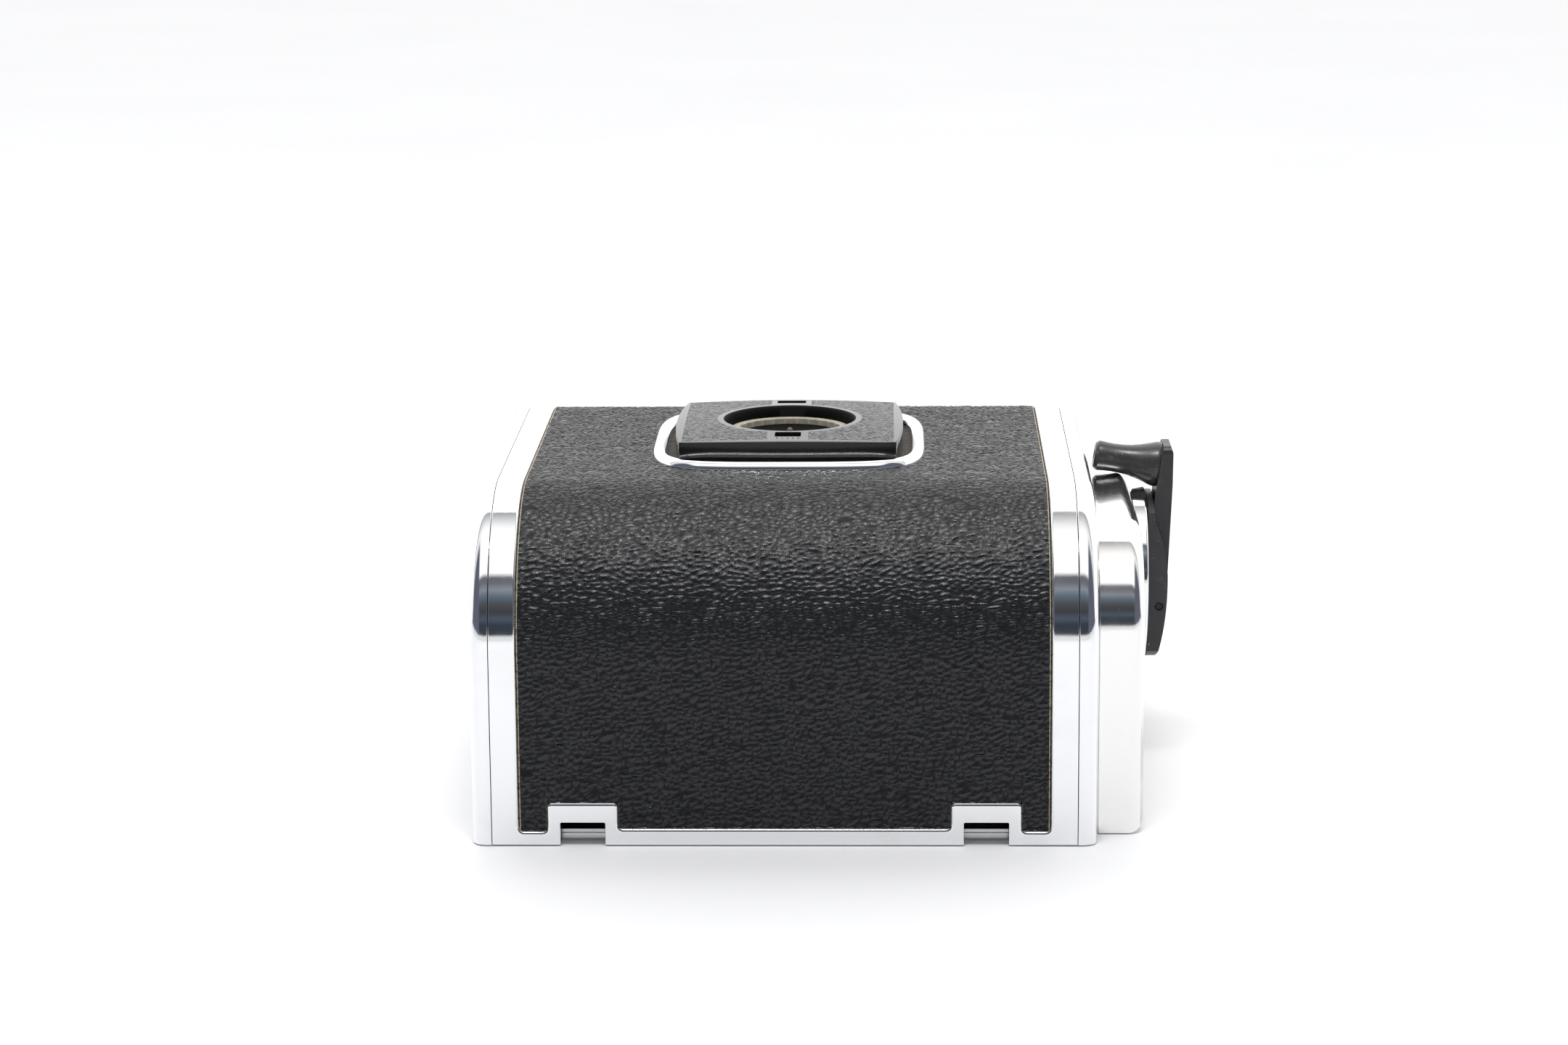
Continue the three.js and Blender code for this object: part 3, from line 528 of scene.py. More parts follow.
def dial_plate_material(hole, pads):
    """Gloss black wall; on top a grained field with smooth borders round its edge, hole and windows. The field's
    colour is darker in the grain's hollows: painted shade.
    """
    s = Surface("dial_plate_black", IOR=1.5)
    split = s.node("ShaderNodeSeparateXYZ")
    s.link(s.coords(), split.inputs["Vector"])
    x = s.math("SUBTRACT", split.outputs["X"], X0)
    y = s.math("SUBTRACT", split.outputs["Y"], Y0 + MID_Y)
    away_x, away_y = s.math("ABSOLUTE", x), s.math("ABSOLUTE", y)
    radius = s.math("SQRT", s.math("ADD", s.math("MULTIPLY", x, x), s.math("MULTIPLY", y, y)))
    top = s.math("GREATER_THAN", split.outputs["Z"], DEPTH + 2.2)
    field = s.math("GREATER_THAN", radius, hole)
    inside_x = s.math("LESS_THAN", away_x, DIAL_HALF[0] - 1.35)
    inside_y = s.math("LESS_THAN", away_y, DIAL_HALF[1] - 1.15)
    for part in (inside_x, inside_y, s.math("GREATER_THAN", away_x, pads), top):
        field = s.math("MULTIPLY", field, part)
    grain = s.noise(1.7, 3, 0.6, 0.8)
    # The grain's colour follows its height: dark in its hollows as painted shade, paler on its crests.
    grain_painted_shade = s.ramp(grain, [(0.40, 0.008), (0.58, (0.085, 0.085, 0.088))])
    s.paint("Base Color", s.mix(field, (0.010, 0.010, 0.0105), grain_painted_shade))
    in_well = s.math("MULTIPLY", s.math("LESS_THAN", radius, hole - 0.85), 0.5)
    rough = s.math("ADD", 0.10, in_well)
    rough_top = s.math("ADD", s.math("MULTIPLY", top, 0.14), s.math("MULTIPLY", field, 0.06))
    s.paint("Roughness", s.math("ADD", rough, rough_top))
    shine = s.mix(field, (0.5, 0.5, 0.5), s.ramp(grain, [(0.42, 0.10), (0.56, 0.95)]))
    s.paint("Specular IOR Level", s.mix(in_well, shine, (0.0, 0.0, 0.0)))
    s.bump(s.math("MULTIPLY", grain, field), 2.2)
    s.bump(s.noise(5.0, 3, 0.6), 0.004)
    return s.material


def plain_paint(name, colour, rough=0.5, mottling=0.85):
    s = Surface(name)
    dark = tuple(c * mottling for c in colour)
    s.paint("Base Color", s.cloud(0.8, 4, 0.6, (0.35, dark), (0.65, colour)))
    s.paint("Roughness", s.cloud(2.0, 4, 0.6, (0.3, rough - 0.08), (0.7, rough + 0.1)))
    s.bump(s.noise(8.0, 3, 0.6), 0.006)
    return s.material


def felt_material():
    s = Surface("black_felt", Roughness=0.95, Sheen_Weight=0.6, Sheen_Roughness=0.5)
    s.paint("Base Color", s.cloud(9.0, 4, 0.8, (0.3, (0.006, 0.006, 0.006)), (0.7, (0.03, 0.03, 0.03))))
    s.bump(s.noise(14.0, 4, 0.8), 0.08)
    return s.material


def glass_material():
    s = Surface("window_glass", IOR=1.49, Transmission_Weight=1.0)
    s.paint("Base Color", s.cloud(0.6, 3, 0.6, (0.3, (0.93, 0.95, 0.96)), (0.7, (1.0, 1.0, 1.0))))
    s.paint("Roughness", s.cloud(3.0, 5, 0.7, (0.45, 0.01), (0.8, 0.07)))
    return s.material


BEZEL_SWELL = 4.2
BEZEL_HALF = (19.5, 20.0)
BED_HALF = (18.2, 18.7)
DIAL_HALF = (16.3, 15.7)
DIAL_CORNER = (15.3, 14.9)
DIAL_HOLE = 9.4
DIAL_TOP = node_box("dial_plate")[1].z
DIAL_BOTTOM = node_box("dial_plate")[0].z

CHROME = polished_metal("bright_trim", (0.87, 0.875, 0.89), 0.035, 0.30, 5.0)
HOUSING = polished_metal("bright_housing", (0.88, 0.875, 0.865), 0.055, 0.5, 5.0, (0.66, 0.62, 0.57))
SATIN = polished_metal("satin_metal", (0.60, 0.61, 0.62), 0.26, 0.5, (0.6, 14.0, 14.0))
STEEL = polished_metal("plain_steel", (0.55, 0.56, 0.58), 0.18, 0.5, (14.0, 3.0, 3.0))
BRASS = polished_metal("brass", (0.72, 0.56, 0.28), 0.22, 0.6, 6.0, (0.45, 0.36, 0.2))
BLACK = moulded("black_moulding", (0.022, 0.022, 0.024), 0.38)
KNOB_BLACK = moulded("worn_knob_black", (0.045, 0.043, 0.044), 0.24, (0.40, 0.39, 0.39))
PAINT = moulded("matt_black_paint", (0.012, 0.012, 0.013), 0.52, (0.05, 0.05, 0.05))
LEATHER = leather_material()
CUT_EDGE = cut_edge_material()
DIAL_BLACK = dial_plate_material(DIAL_HOLE + 1.0, 2.9)
FELT = felt_material()
IVORY = plain_paint("ivory_paint", (0.80, 0.77, 0.66))
RED = plain_paint("red_paint", (0.62, 0.04, 0.03))
GLASS = glass_material()
INK = plain_paint("black_ink", (0.012, 0.012, 0.012), 0.6)
# Cream paint for the speed dial's scalloped metal rim: a painted highlight standing in for the metal's bright
# reflections.
CREAM_RIM_HIGHLIGHT = plain_paint("cream_painted_highlight_rim", (0.50, 0.46, 0.37), 0.45)
WELL = plain_paint("dial_well_black", (0.003, 0.003, 0.003), 0.9)
WELL.node_tree.nodes["Principled BSDF"].inputs["Specular IOR Level"].default_value = 0.1
PIN_BROWN = plain_paint("dial_pin_brown", (0.14, 0.10, 0.07), 0.5)
BED_GRIME = plain_paint("bed_grime", (0.085, 0.072, 0.058), 0.75, 0.35)

# The materials of each slot; a CAD node that stays in view takes the first.
LOOKS = {"chrome": (CHROME, HOUSING), "satin_metal": (SATIN,), "steel": (STEEL, PIN_BROWN), "brass": (BRASS,),
         "black_plastic": (BLACK, KNOB_BLACK, DIAL_BLACK), "black_paint": (PAINT, INK, WELL, BED_GRIME),
         "leather": (LEATHER,), "felt": (FELT,), "ivory_paint": (IVORY, CREAM_RIM_HIGHLIGHT), "red_paint": (RED,),
         "clear_window": (GLASS,)}


# ---------- casing ----------
HOOK_X = 27.4
HOOK_HALF = 3.05
HOOK_TOP = 3.14
TAB_TOP = 5.9
TAB_HALF = 4.75
LEATHER_X = 35.96
LEATHER_FRONT = 2.41
STRIP_FRONT = 2.03
CATCH_TAB = (13.0, 13.0)
CATCH_SLOT_X = (-6.5, 11.5)
CATCH_SLOT_Z = (5.3, 9.9)
TRIM_T = 0.9


def casing_edge():
    """Outline of the casing laid flat, with the hook slots open at both ends."""
    half = SEAM_X - SEAM
    near = [(-half, 0, 0)]
    for side in (-1, 1):
        left, right = side * HOOK_X - HOOK_HALF, side * HOOK_X + HOOK_HALF
        near += [(left, 0, 0.12), (left, HOOK_TOP, 0.2), (right, HOOK_TOP, 0.2), (right, 0, 0.12)]
    near += [(half, 0, 0)]
    return rounded(near + [(x, GIRTH - s, radius) for x, s, radius in reversed(near)], 4)


def tab_edges(gap):
    """Left and right edge of the left tab and of the right one."""
    return [(side * HOOK_X - TAB_HALF - gap, side * HOOK_X + TAB_HALF + gap) for side in (-1, 1)]


def leather_bed(gap):
    """Outline of the bed of the leather: straight sides, notched round the bare tabs."""
    x = LEATHER_X + gap
    low, strip = LEATHER_FRONT - gap, STRIP_FRONT - gap
    top = TAB_TOP + gap
    r, s = 0.7, 0.75
    (a, b), (c, d) = tab_edges(gap)
    left = [(-x, strip, r), (a, strip, r), (a, top, s), (b, top, s), (b, low, r)]
    right = [(c, low, r), (c, top, s), (d, top, s), (d, strip, r), (x, strip, r)]
    u, v = CATCH_TAB[0] + gap, CATCH_TAB[1] + gap
    far = [*left, (-u, low, r), (-u, v, s), (u, v, s), (u, low, r), *right]
    return rounded(left + right + [(x, GIRTH - s, radius) for x, s, radius in reversed(far)], 5)


def casing():
    catch = rectangle(CATCH_SLOT_X, (GIRTH - CATCH_SLOT_Z[1], GIRTH - CATCH_SLOT_Z[0]), 0.8)
    edge = casing_edge()
    trim = plate("casing_trim", [(edge, 0.12, 0), (leather_bed(0.10), 0.50, 0), (catch, 0.25, 0)], -TRIM_T, 0,
                 wrapped, bend_cuts())
    liner = plate("casing_liner", [(edge, 0, 0), (catch, 0, 0)], -WALL, -TRIM_T - 0.02,
                  wrapped, bend_cuts(18))
    dress(trim, CHROME, "magazine", "casing_shell")
    dress(liner, PAINT)


def worley(points, seed):
    """Distance to the nearest and the second nearest of jittered grid points, for points of shape (n, 2)."""
    cell = np.floor(points).astype(np.int64)
    nearest = np.full(len(points), 9.0)
    second = np.full(len(points), 9.0)
    for dx in (-1, 0, 1):
        for dy in (-1, 0, 1):
            cx, cy = cell[:, 0] + dx, cell[:, 1] + dy
            jitter = []
            for salt in (17, 59):
                mixed = (cx * 73856093) ^ (cy * 19349663) ^ ((seed + salt) * 83492791)
                mixed = (mixed ^ (mixed >> 13)) * 1274126177
                jitter.append(((mixed ^ (mixed >> 16)) & 0xFFFF) / 65535.0)
            gap = np.hypot(points[:, 0] - cx - jitter[0], points[:, 1] - cy - jitter[1])
            second = np.where(gap < nearest, nearest, np.minimum(second, gap))
            nearest = np.minimum(nearest, gap)
    return nearest, second


# Layers of the leather's grain: seed, pebble width and height in millimetres, and share of the relief.
GRAIN_LAYERS = ((3, 1.12, 0.74, 0.86), (11, 0.9, 0.6, 0.14))


def pebbles(x, s):
    """Height of the leather's grain, 0 in the creases and 1 on the pebbles."""
    warp = 0.35 * np.sin(0.83 * x + 1.7 * np.sin(0.31 * s)) + 0.30 * np.sin(1.37 * s + 1.3 * np.sin(0.47 * x))
    total = np.zeros(len(x))
    for seed, width, height, share in GRAIN_LAYERS:
        p = np.stack([(x + warp) / width, (s + 0.6 * warp) / height], 1)
        nearest, second = worley(p, seed)
        rise = np.clip((second - nearest) / 0.8, 0, 1)
        total += share * rise * (2 - rise)
    return total


def lines(low, high, step, fixed=()):
    """Grid lines from low to high, about a step apart, that pass through the fixed places."""
    stops = sorted({low, high, *[f for f in fixed if low < f < high]})
    made = [low]
    for a, b in zip(stops, stops[1:]):
        count = max(1, round((b - a) / step))
        made += [a + (b - a) * k / count for k in range(1, count + 1)]
    return np.array(made)


RELIEF = 0.27
LEATHER_STEP = (0.285, 0.182)
LEATHER_TOP = -0.03
LEATHER_UNDERSIDE = -0.6
CUT_WIDTH = 0.14
RIM_CREST = 0.85
DIAL_CUTOUT = (18.4, 18.9)


def leather():
    """The covering: a fine grid laid round the casing, lifted into pebbles, with a pale cut edge."""
    coarse = 1
    step_x, step_s = LEATHER_STEP[0] * coarse, LEATHER_STEP[1] * coarse
    gap = 0.06
    tabs = tab_edges(gap)
    top = TAB_TOP + gap
    catch = CATCH_TAB[0] + gap
    catch_s = GIRTH - CATCH_TAB[1] - gap
    cut = LEATHER_X - CUT_WIDTH
    xs = lines(-LEATHER_X, LEATHER_X, step_x, [*tabs[0], *tabs[1], -catch, catch, -cut, cut])
    ss = lines(STRIP_FRONT, GIRTH - STRIP_FRONT, step_s,
               [LEATHER_FRONT, top, GIRTH - top, GIRTH - LEATHER_FRONT, catch_s])
    u, v = np.meshgrid((xs[:-1] + xs[1:]) / 2, (ss[:-1] + ss[1:]) / 2, indexing="ij")
    end = np.minimum(v, GIRTH - v)
    bare = (end < LEATHER_FRONT) & (tabs[0][1] < u) & (u < tabs[1][0])
    for low, high in tabs:
        bare |= (end < top) & (low < u) & (u < high)
    bare |= (v > catch_s) & (np.abs(u) < catch)
    from_dial = np.abs(u) / DIAL_CUTOUT[0], np.abs(v - GIRTH / 2) / DIAL_CUTOUT[1]
    bare |= from_dial[0] ** BEZEL_SWELL + from_dial[1] ** BEZEL_SWELL < 1
    cover = np.pad(~bare, 1)
    rows = len(ss)
    grid_x, grid_s = (grid.ravel() for grid in np.meshgrid(xs, ss, indexing="ij"))
    rimless = cover[:-1, :-1] & cover[1:, :-1] & cover[:-1, 1:] & cover[1:, 1:]
    crest = np.where(rimless.ravel(), pebbles(grid_x, grid_s), RIM_CREST)
    upper = wrapped(np.stack([grid_x, grid_s, RELIEF * (crest - 1) + LEATHER_TOP], 1))
    lower = wrapped(np.stack([grid_x, grid_s, np.full(len(grid_x), LEATHER_UNDERSIDE)], 1))
    points = in_frame(np.vstack([upper, lower]))
    below = len(grid_x)
    inside = cover[1:-1, 1:-1]
    corner = np.arange(len(xs) - 1)[:, None] * rows + np.arange(rows - 1)[None, :]

    def quads(mask, *offsets):
        return np.stack([corner[mask] + offset for offset in offsets], 1)

    skin = quads(inside, 0, rows, rows + 1, 1)
    skirts = np.vstack([
        quads(inside & ~cover[:-2, 1:-1], 0, 1, 1 + below, below),
        quads(inside & ~cover[2:, 1:-1], rows + 1, rows, rows + below, rows + 1 + below),
        quads(inside & ~cover[1:-1, :-2], rows, 0, below, rows + below),
        quads(inside & ~cover[1:-1, 2:], 1, rows + 1, rows + 1 + below, 1 + below)])
    used, order = np.unique(np.vstack([skin, skirts]), return_inverse=True)
    mesh = bpy.data.meshes.new("leather_covering")
    mesh.from_pydata(points[used].tolist(), [], order.reshape(-1, 4).tolist())
    height = mesh.attributes.new("crest", "FLOAT", "POINT")
    height.data.foreach_set("value", np.concatenate([crest, np.zeros(below)])[used].astype(np.float32))
    worn = np.concatenate([np.abs(u[inside]) > cut, np.ones(len(skirts), bool)])
    mesh.polygons.foreach_set("material_index", worn.astype(np.int32))
    mesh.shade_smooth()
    mesh.set_sharp_from_angle(angle=math.radians(70))
    obj = bpy.data.objects.new("leather_covering", mesh)
    bpy.context.scene.collection.objects.link(obj)
    mesh.materials.append(LEATHER)
    mesh.materials.append(CUT_EDGE)
    dress(obj, LEATHER, "magazine", "leatherette")


EDGE_R = 2.1
MOUTH_Y = (5.5, 85.5)
MOUTH_Z = (5.3, 42.2)
SLIDE_Y = (14.0, 77.0)
SLIDE_Z = (1.9, 3.0)


def side_covers():
    outline = dee((0, LENGTH), (-EDGE_R, DEPTH), CORNER_R)
    right_outline = dee((0, LENGTH), (-0.9, DEPTH), CORNER_R)
    mouth = dee(MOUTH_Y, MOUTH_Z, 17, 2.3)
    slot = rectangle(SLIDE_Y, SLIDE_Z, 0.35)
    left = plate("left_side_cover", [(outline, 0.12, EDGE_R), (mouth, 0, 0.5), (slot, 0, 0.2)],
                 -SIDE_X, -SEAM_X - SEAM, along_x, steps=8, floor=0)
    right = plate("right_side_plate", [(right_outline, EDGE_R, 0.12)],
                  SEAM_X + SEAM, SIDE_X, along_x, steps=8, floor=0)
    dress(left, CHROME, "magazine", "left_side_frame")
    dress(right, CHROME, "magazine", "right_side_cover")


# ---------- gear housing ----------
HOUSE_R = 14.0
HOUSE_WALL = 1.2


def gear_housing():
    low, high = node_box("gear_housing")

    def form(drawn_in):
        """The housing's side view, drawn in by a distance."""
        return dee((low.y + drawn_in, high.y - drawn_in), (drawn_in, high.z - drawn_in), HOUSE_R - drawn_in)

    windows = []
    for name in ("counter_window", "status_window"):
        a, b = node_box(name)
        windows.append((name, (a + b) / 2, (b.z - a.z) / 2, a.x - high.x))
    holes = [(circle(radius + 0.1, middle.y, middle.z, 48), 0.35, 0) for _, middle, radius, _ in windows]
    body = plate("gear_cover", [(form(0), 2.0, 0.15), *holes], low.x - 0.1, high.x, along_x, steps=8)
    hollow = plate("hollow", [(form(HOUSE_WALL), 0, 0)], low.x - 2, high.x - HOUSE_WALL, along_x)
    a, b = node_box("coupling_gear")
    mouth = box_solid("mouth", (a.x - 0.4, b.x + 0.4), (a.y + 0.8, b.y - 0.8), (-2, 3))
    dress(combine(body, [hollow, mouth]), HOUSING, "magazine", "gear_housing")
    gasket = plate("gear_cover_gasket", [(form(0.35), 0, 0), (form(1.1), 0, 0)],
                   SIDE_X + 0.01, low.x - 0.09, along_x)
    dress(gasket, PAINT)
    for name, middle, radius, back in windows:
        glass = turned(name + "_glass", soft_bar(radius + 0.08, back, -0.12, 0.15),
                       (high.x, middle.y, middle.z), "x", 48)
        dress(glass, GLASS, "magazine", name)


# ---------- film-speed dial ----------
def bezel():
    width, top, base = 2.1, node_box("dial_bezel")[1].z, DEPTH - 0.9
    radius = width / 2
    crown = [(radius - radius * math.cos(a), top - radius + radius * math.sin(a))
             for a in np.linspace(0, math.pi, 17)]
    outline = cushion(*BEZEL_HALF, BEZEL_SWELL)
    rings = [np.column_stack([inset(outline, d), np.full(len(outline), z)])
             for d, z in [(0, base), *crown, (width, base)]]
    dress(rings_solid("dial_bezel_ring", rings), CHROME, "magazine", "dial_bezel")
    dress(plate("dial_bed", [(cushion(*BED_HALF, BEZEL_SWELL), 0, 0)], base - 0.2, base + 0.32), BED_GRIME)


def crowned_square(count=30):
    """Points of the dial plate's outline: four crowned sides and crisp corners."""
    x, y = DIAL_CORNER
    corners = [(x, -y), (x, y), (-x, y), (-x, -y)]
    crown_x, crown_y = 2 * DIAL_HALF[0] - x, 2 * DIAL_HALF[1] - y
    crowns = [(crown_x, 0), (0, crown_y), (-crown_x, 0), (0, -crown_y)]
    return np.array([bezier(t, corners[k], crowns[k], corners[(k + 1) % 4])
                     for k in range(4) for t in np.linspace(0.004, 0.996, count)])


def dial_plate():
    outline = crowned_square()
    angle = np.arctan2(outline[:, 1], outline[:, 0])
    round_way = np.stack([np.cos(angle), np.sin(angle)], 1)
    slope = math.tan(math.radians(3))

    def ring(xy, z):
        return np.column_stack([xy[:, 0], xy[:, 1] + MID_Y, z if np.ndim(z) else np.full(len(xy), z)])

    def crown(xy):
        return DIAL_TOP - slope * np.maximum(np.linalg.norm(xy, axis=1) - DIAL_HOLE, 0)

    soft = 0.18
    rings = [ring(outline, DIAL_BOTTOM), ring(outline, crown(outline) - soft)]
    for k in (1, 2, 3):
        a = math.pi / 2 * k / 3
        drawn_in = inset(outline, soft * (1 - math.cos(a)))
        rings.append(ring(drawn_in, crown(drawn_in) - soft * (1 - math.sin(a))))
    inner_edge = inset(outline, soft)
    for t in np.linspace(0.12, 1, 9):
        spread = inner_edge * (1 - t) + round_way * (DIAL_HOLE + 0.3) * t
        rings.append(ring(spread, crown(spread)))
    under_lip, wide = 1.95, 14.4
    for radius, z in ((DIAL_HOLE + 0.08, DIAL_TOP - 0.06), (DIAL_HOLE, DIAL_TOP - 0.3),
                      (DIAL_HOLE, DIAL_TOP - under_lip), (wide, DIAL_TOP - under_lip), (wide, DIAL_BOTTOM)):
        rings.append(ring(round_way * radius, z))
    body = rings_solid("dial_plate_top", rings)
    deep = (DIAL_TOP - 3, DIAL_TOP + 1)
    near = box_solid("near", (-1.85, 1.85), (MID_Y - 12.9, MID_Y - 10.3), deep, 0.25)
    far = box_solid("far", (-2.1, 2.1), (MID_Y + 11.7, MID_Y + 14.3), deep, 0.25)
    dress(combine(body, [near, far]), DIAL_BLACK, "magazine", "dial_plate")
    start = MID_Y - 13.95
    for k, x in enumerate((-1.5, -0.75, 0, 0.75, 1.5)):
        length = 0.75 if k % 2 == 0 else 0.45
        tick = box_solid(f"index_tick_{k + 1}", (x - 0.09, x + 0.09), (start, start + length),
                         (DIAL_TOP - 0.45, DIAL_TOP - slope * 4.3 + 0.02))
        dress(tick, INK)


def speed_dial():
    lobes, outer = 26, 8.75
    low, high = DIAL_BOTTOM, DIAL_TOP - 1.55
    centre = (0, MID_Y, 0)
    steps = lobes * 12
    angle = np.linspace(0, 2 * math.pi, steps, endpoint=False)
    wave = np.abs(np.sin(angle * lobes / 2)) ** 0.7
    rings = []
    for drawn_in, depth, z in ((0, 0, low), (0, 0, high - 0.2), (0.05, 0, high - 0.05), (0.15, 0, high),
                               (0.95, 0.55, high), (1.05, 0.55, high - 0.1), (1.05, 0.55, low)):
        r = outer - drawn_in - depth * (1 - wave)
        rings.append(np.stack([r * np.cos(angle), MID_Y + r * np.sin(angle), np.full(steps, z)], 1))
    # The rim is metal; its cream paint is a painted highlight.
    dress(rings_solid("speed_dial_rim", rings), CREAM_RIM_HIGHLIGHT, "speed_dial_body")
    cup = [(0, low), (outer - 1.6, low), (outer - 1.6, high - 0.75), (outer - 1.9, high - 0.9),
           (2.2, high - 1.1), (1.6, high - 0.9), (0, high - 0.9)]
    dress(turned("speed_dial_face", cup, centre, "z", 96), WELL, "speed_dial_body", "speed_dial")
    top = node_box("speed_dial_pin")[1].z - 0.15
    pin = [(0, high - 1.0), (0.42, high - 1.0), (0.42, top - 0.25), (0.25, top), (0, top)]
    dress(turned("speed_dial_stud", pin, centre, "z", 32), PIN_BROWN, "speed_dial_body", "speed_dial_pin")
    a, b = node_box("speed_scale_disc")
    scale = turned("speed_scale_ring", soft_bar(14, a.z, b.z, 0.1, 9.0), centre, "z", 96)
    dress(scale, IVORY, "speed_dial_body", "speed_scale_disc")
    sides = [(0, 1, 2, 3), (4, 5, 6, 7), (0, 1, 5, 4), (1, 2, 6, 5), (2, 3, 7, 6), (3, 0, 4, 7)]
    for k in range(24):
        turn = 2 * math.pi * k / 24 + math.pi / 2
        c, s = math.cos(turn), math.sin(turn)
        middle, half_length = (12.2, 1.0) if k % 2 == 0 else (11.9, 0.6)
        mark = []
        for z in (b.z - 0.05, b.z + 0.03):
            for along, across in ((-1, -1), (1, -1), (1, 1), (-1, 1)):
                r, w = middle + along * half_length, across * 0.16
                mark.append((r * c - w * s, MID_Y + r * s + w * c, z))
        dress(solid_from(f"scale_mark_{k + 1}", mark, sides), INK, "speed_dial_body")


# ---------- winding crank ----------
CRANK = joint_point("crank_turn")
FOLD = joint_point("crank_fold")
KNOB = joint_point("knob_spin")
KNOB_AXIS = Vector(joint("knob_spin")["axis"])
HUB_R = 12.2
CHEEK = (3.85, 6.6)
ARM_HALF = 3.5
CRANK_SPAN = (40, 70)  # along x, past both sides of the crank


def hub_profile(x):
    """Side view of the hub in (x, z) about the crank axis: its back lies at x."""
    points = [(x, -HUB_R - 1), (x + 1.1, -HUB_R)]
    for t in np.linspace(0.05, 1, 12):
        points.append(bezier(t, (x + 1.1, -HUB_R), (x + 3.0, -HUB_R + 5.5), (x + 2.9, 1)))
    for t in np.linspace(0.1, 1, 8):
        points.append(bezier(t, (x + 2.9, 1), (x + 2.6, 5.5), (x + 1.2, 8.2)))
    return np.array(points + [(x + 0.6, HUB_R + 1), (x, HUB_R + 1)])


def crank_boss():
    low, high = node_box("crank_boss")
    profile = soft_bar(13.0, 0, high.x - low.x + 0.25, 0.35, 3.3)
    obj = turned("crank_collar", profile, (low.x - 0.2, CRANK.y, CRANK.z), "x", 128)
    dress(obj, CHROME, "magazine", "crank_boss")


def crank_hub():
    low = node_box("crank_hub")[0]
    side = hub_profile(low.x) + (0, CRANK.z)
    block = plate("crank_hub_black", [(side, 0, 0)], CRANK.y - CHEEK[1], CRANK.y + CHEEK[1], along_y)
    ends = turned("ends", soft_bar(HUB_R, *CRANK_SPAN, 0), (0, CRANK.y, CRANK.z), "x", 128)
    fold_hole = turned("fold_hole", soft_bar(0.62, -20, 20, 0), FOLD, "y", 32)
    gap = (CRANK.y - CHEEK[0], CRANK.y + CHEEK[0])
    channel = box_solid("channel", (low.x + 0.75, CRANK_SPAN[1]), gap, (FOLD.z + 1.4, 60))
    low_channel = box_solid("low_channel", (low.x + 0.4, CRANK_SPAN[1]), gap, (0, FOLD.z + 1.4))
    hub = combine(combine(block, [ends], "INTERSECT"), [fold_hole, channel, low_channel])
    dress(soften(hub, 0.22), BLACK, "crank", "crank_hub")
    pin = turned("fold_pin", soft_bar(0.6, -CHEEK[1] + 0.22, CHEEK[1] - 0.22, 0.15), FOLD, "y", 32)
    dress(pin, PAINT, "crank", "crank_fold_pin", slot="steel")


def crank_arm():
    high = node_box("crank_arm")[1]
    root = 1.05
    width = (CRANK.y - ARM_HALF, CRANK.y + ARM_HALF)
    # Side view (x, z): round the root, up the outer face, over the tip and down the inner face.
    side = [(FOLD.x + root * math.cos(a), FOLD.z + root * math.sin(a))
            for a in np.linspace(math.pi, 2 * math.pi, 14)]
    side += [(54.7, 27.5), (55.25, 40.0), (high.x, 44.7), (high.x - 0.35, high.z), (53.95, high.z),
             (53.75, 44.9), (52.6, 37.5), (52.55, FOLD.z + 1.75), (FOLD.x - root, FOLD.z + 0.6)]
    slab = plate("crank_arm_black", [(np.array(side), 0, 0)], *width, along_y)
    form = plate("form", [(rectangle(width, (10, high.z), 1.1), 0, 0)], *CRANK_SPAN, along_x)
    arm = combine(slab, [form], "INTERSECT")
    rivet_seat = turned("seat", soft_bar(1.75, 54.5, 60, 0), (0, CRANK.y, KNOB.z - 0.2), "x", 48)
    dress(soften(combine(arm, [rivet_seat]), 0.28), BLACK, "arm", "crank_arm")


def knob():
    """Waisted knob on its tilted axis, with a faint moulding line and a worn tip."""
    length = 9.15
    profile = [(0, -0.45), (2.9, -0.45), (3.18, -0.33), (3.28, 0), (3.2, 0.5), (2.88, 1.5), (2.5, 2.7),
               (2.22, 4.0), (2.08, 5.3), (2.05, 6.5), (2.1, 7.6), (2.18, length - 0.62), (2.16, length - 0.5),
               (1.82, length - 0.06), (1.7, length), (0.75, length), (0.7, length - 0.12), (0, length - 0.12)]
    across = KNOB_AXIS.cross(Vector((0, 1, 0))).normalized()
    sideways = KNOB_AXIS.cross(across)

    def tilted(p):
        axes = (sideways, across, KNOB_AXIS)
        return sum(np.outer(p[:, i], axis) for i, axis in enumerate(axes)) + tuple(KNOB)

    line_width, line_height = 0.035, 0.05
    beside = np.array([0.03, 0.06])
    angle = np.sort(np.concatenate([np.linspace(0, 2 * math.pi, 72, endpoint=False), beside, math.pi - beside,
                                    math.pi + beside, 2 * math.pi - beside]))
    line = sum(np.exp(-(away / line_width) ** 2)
               for away in (angle - math.pi, np.minimum(angle, 2 * math.pi - angle)))
    rings = []
    for radius, along in profile:
        r = radius + (line_height * line if radius > 1.0 else 0)
        rings.append(np.stack([r * np.cos(angle), r * np.sin(angle), np.full(len(angle), along)], 1))
    dress(rings_solid("crank_finger_knob", rings, tilted, closed=False), KNOB_BLACK, "knob", "crank_knob")


# ---------- front ----------
GATE = (-28.0, 28.0)


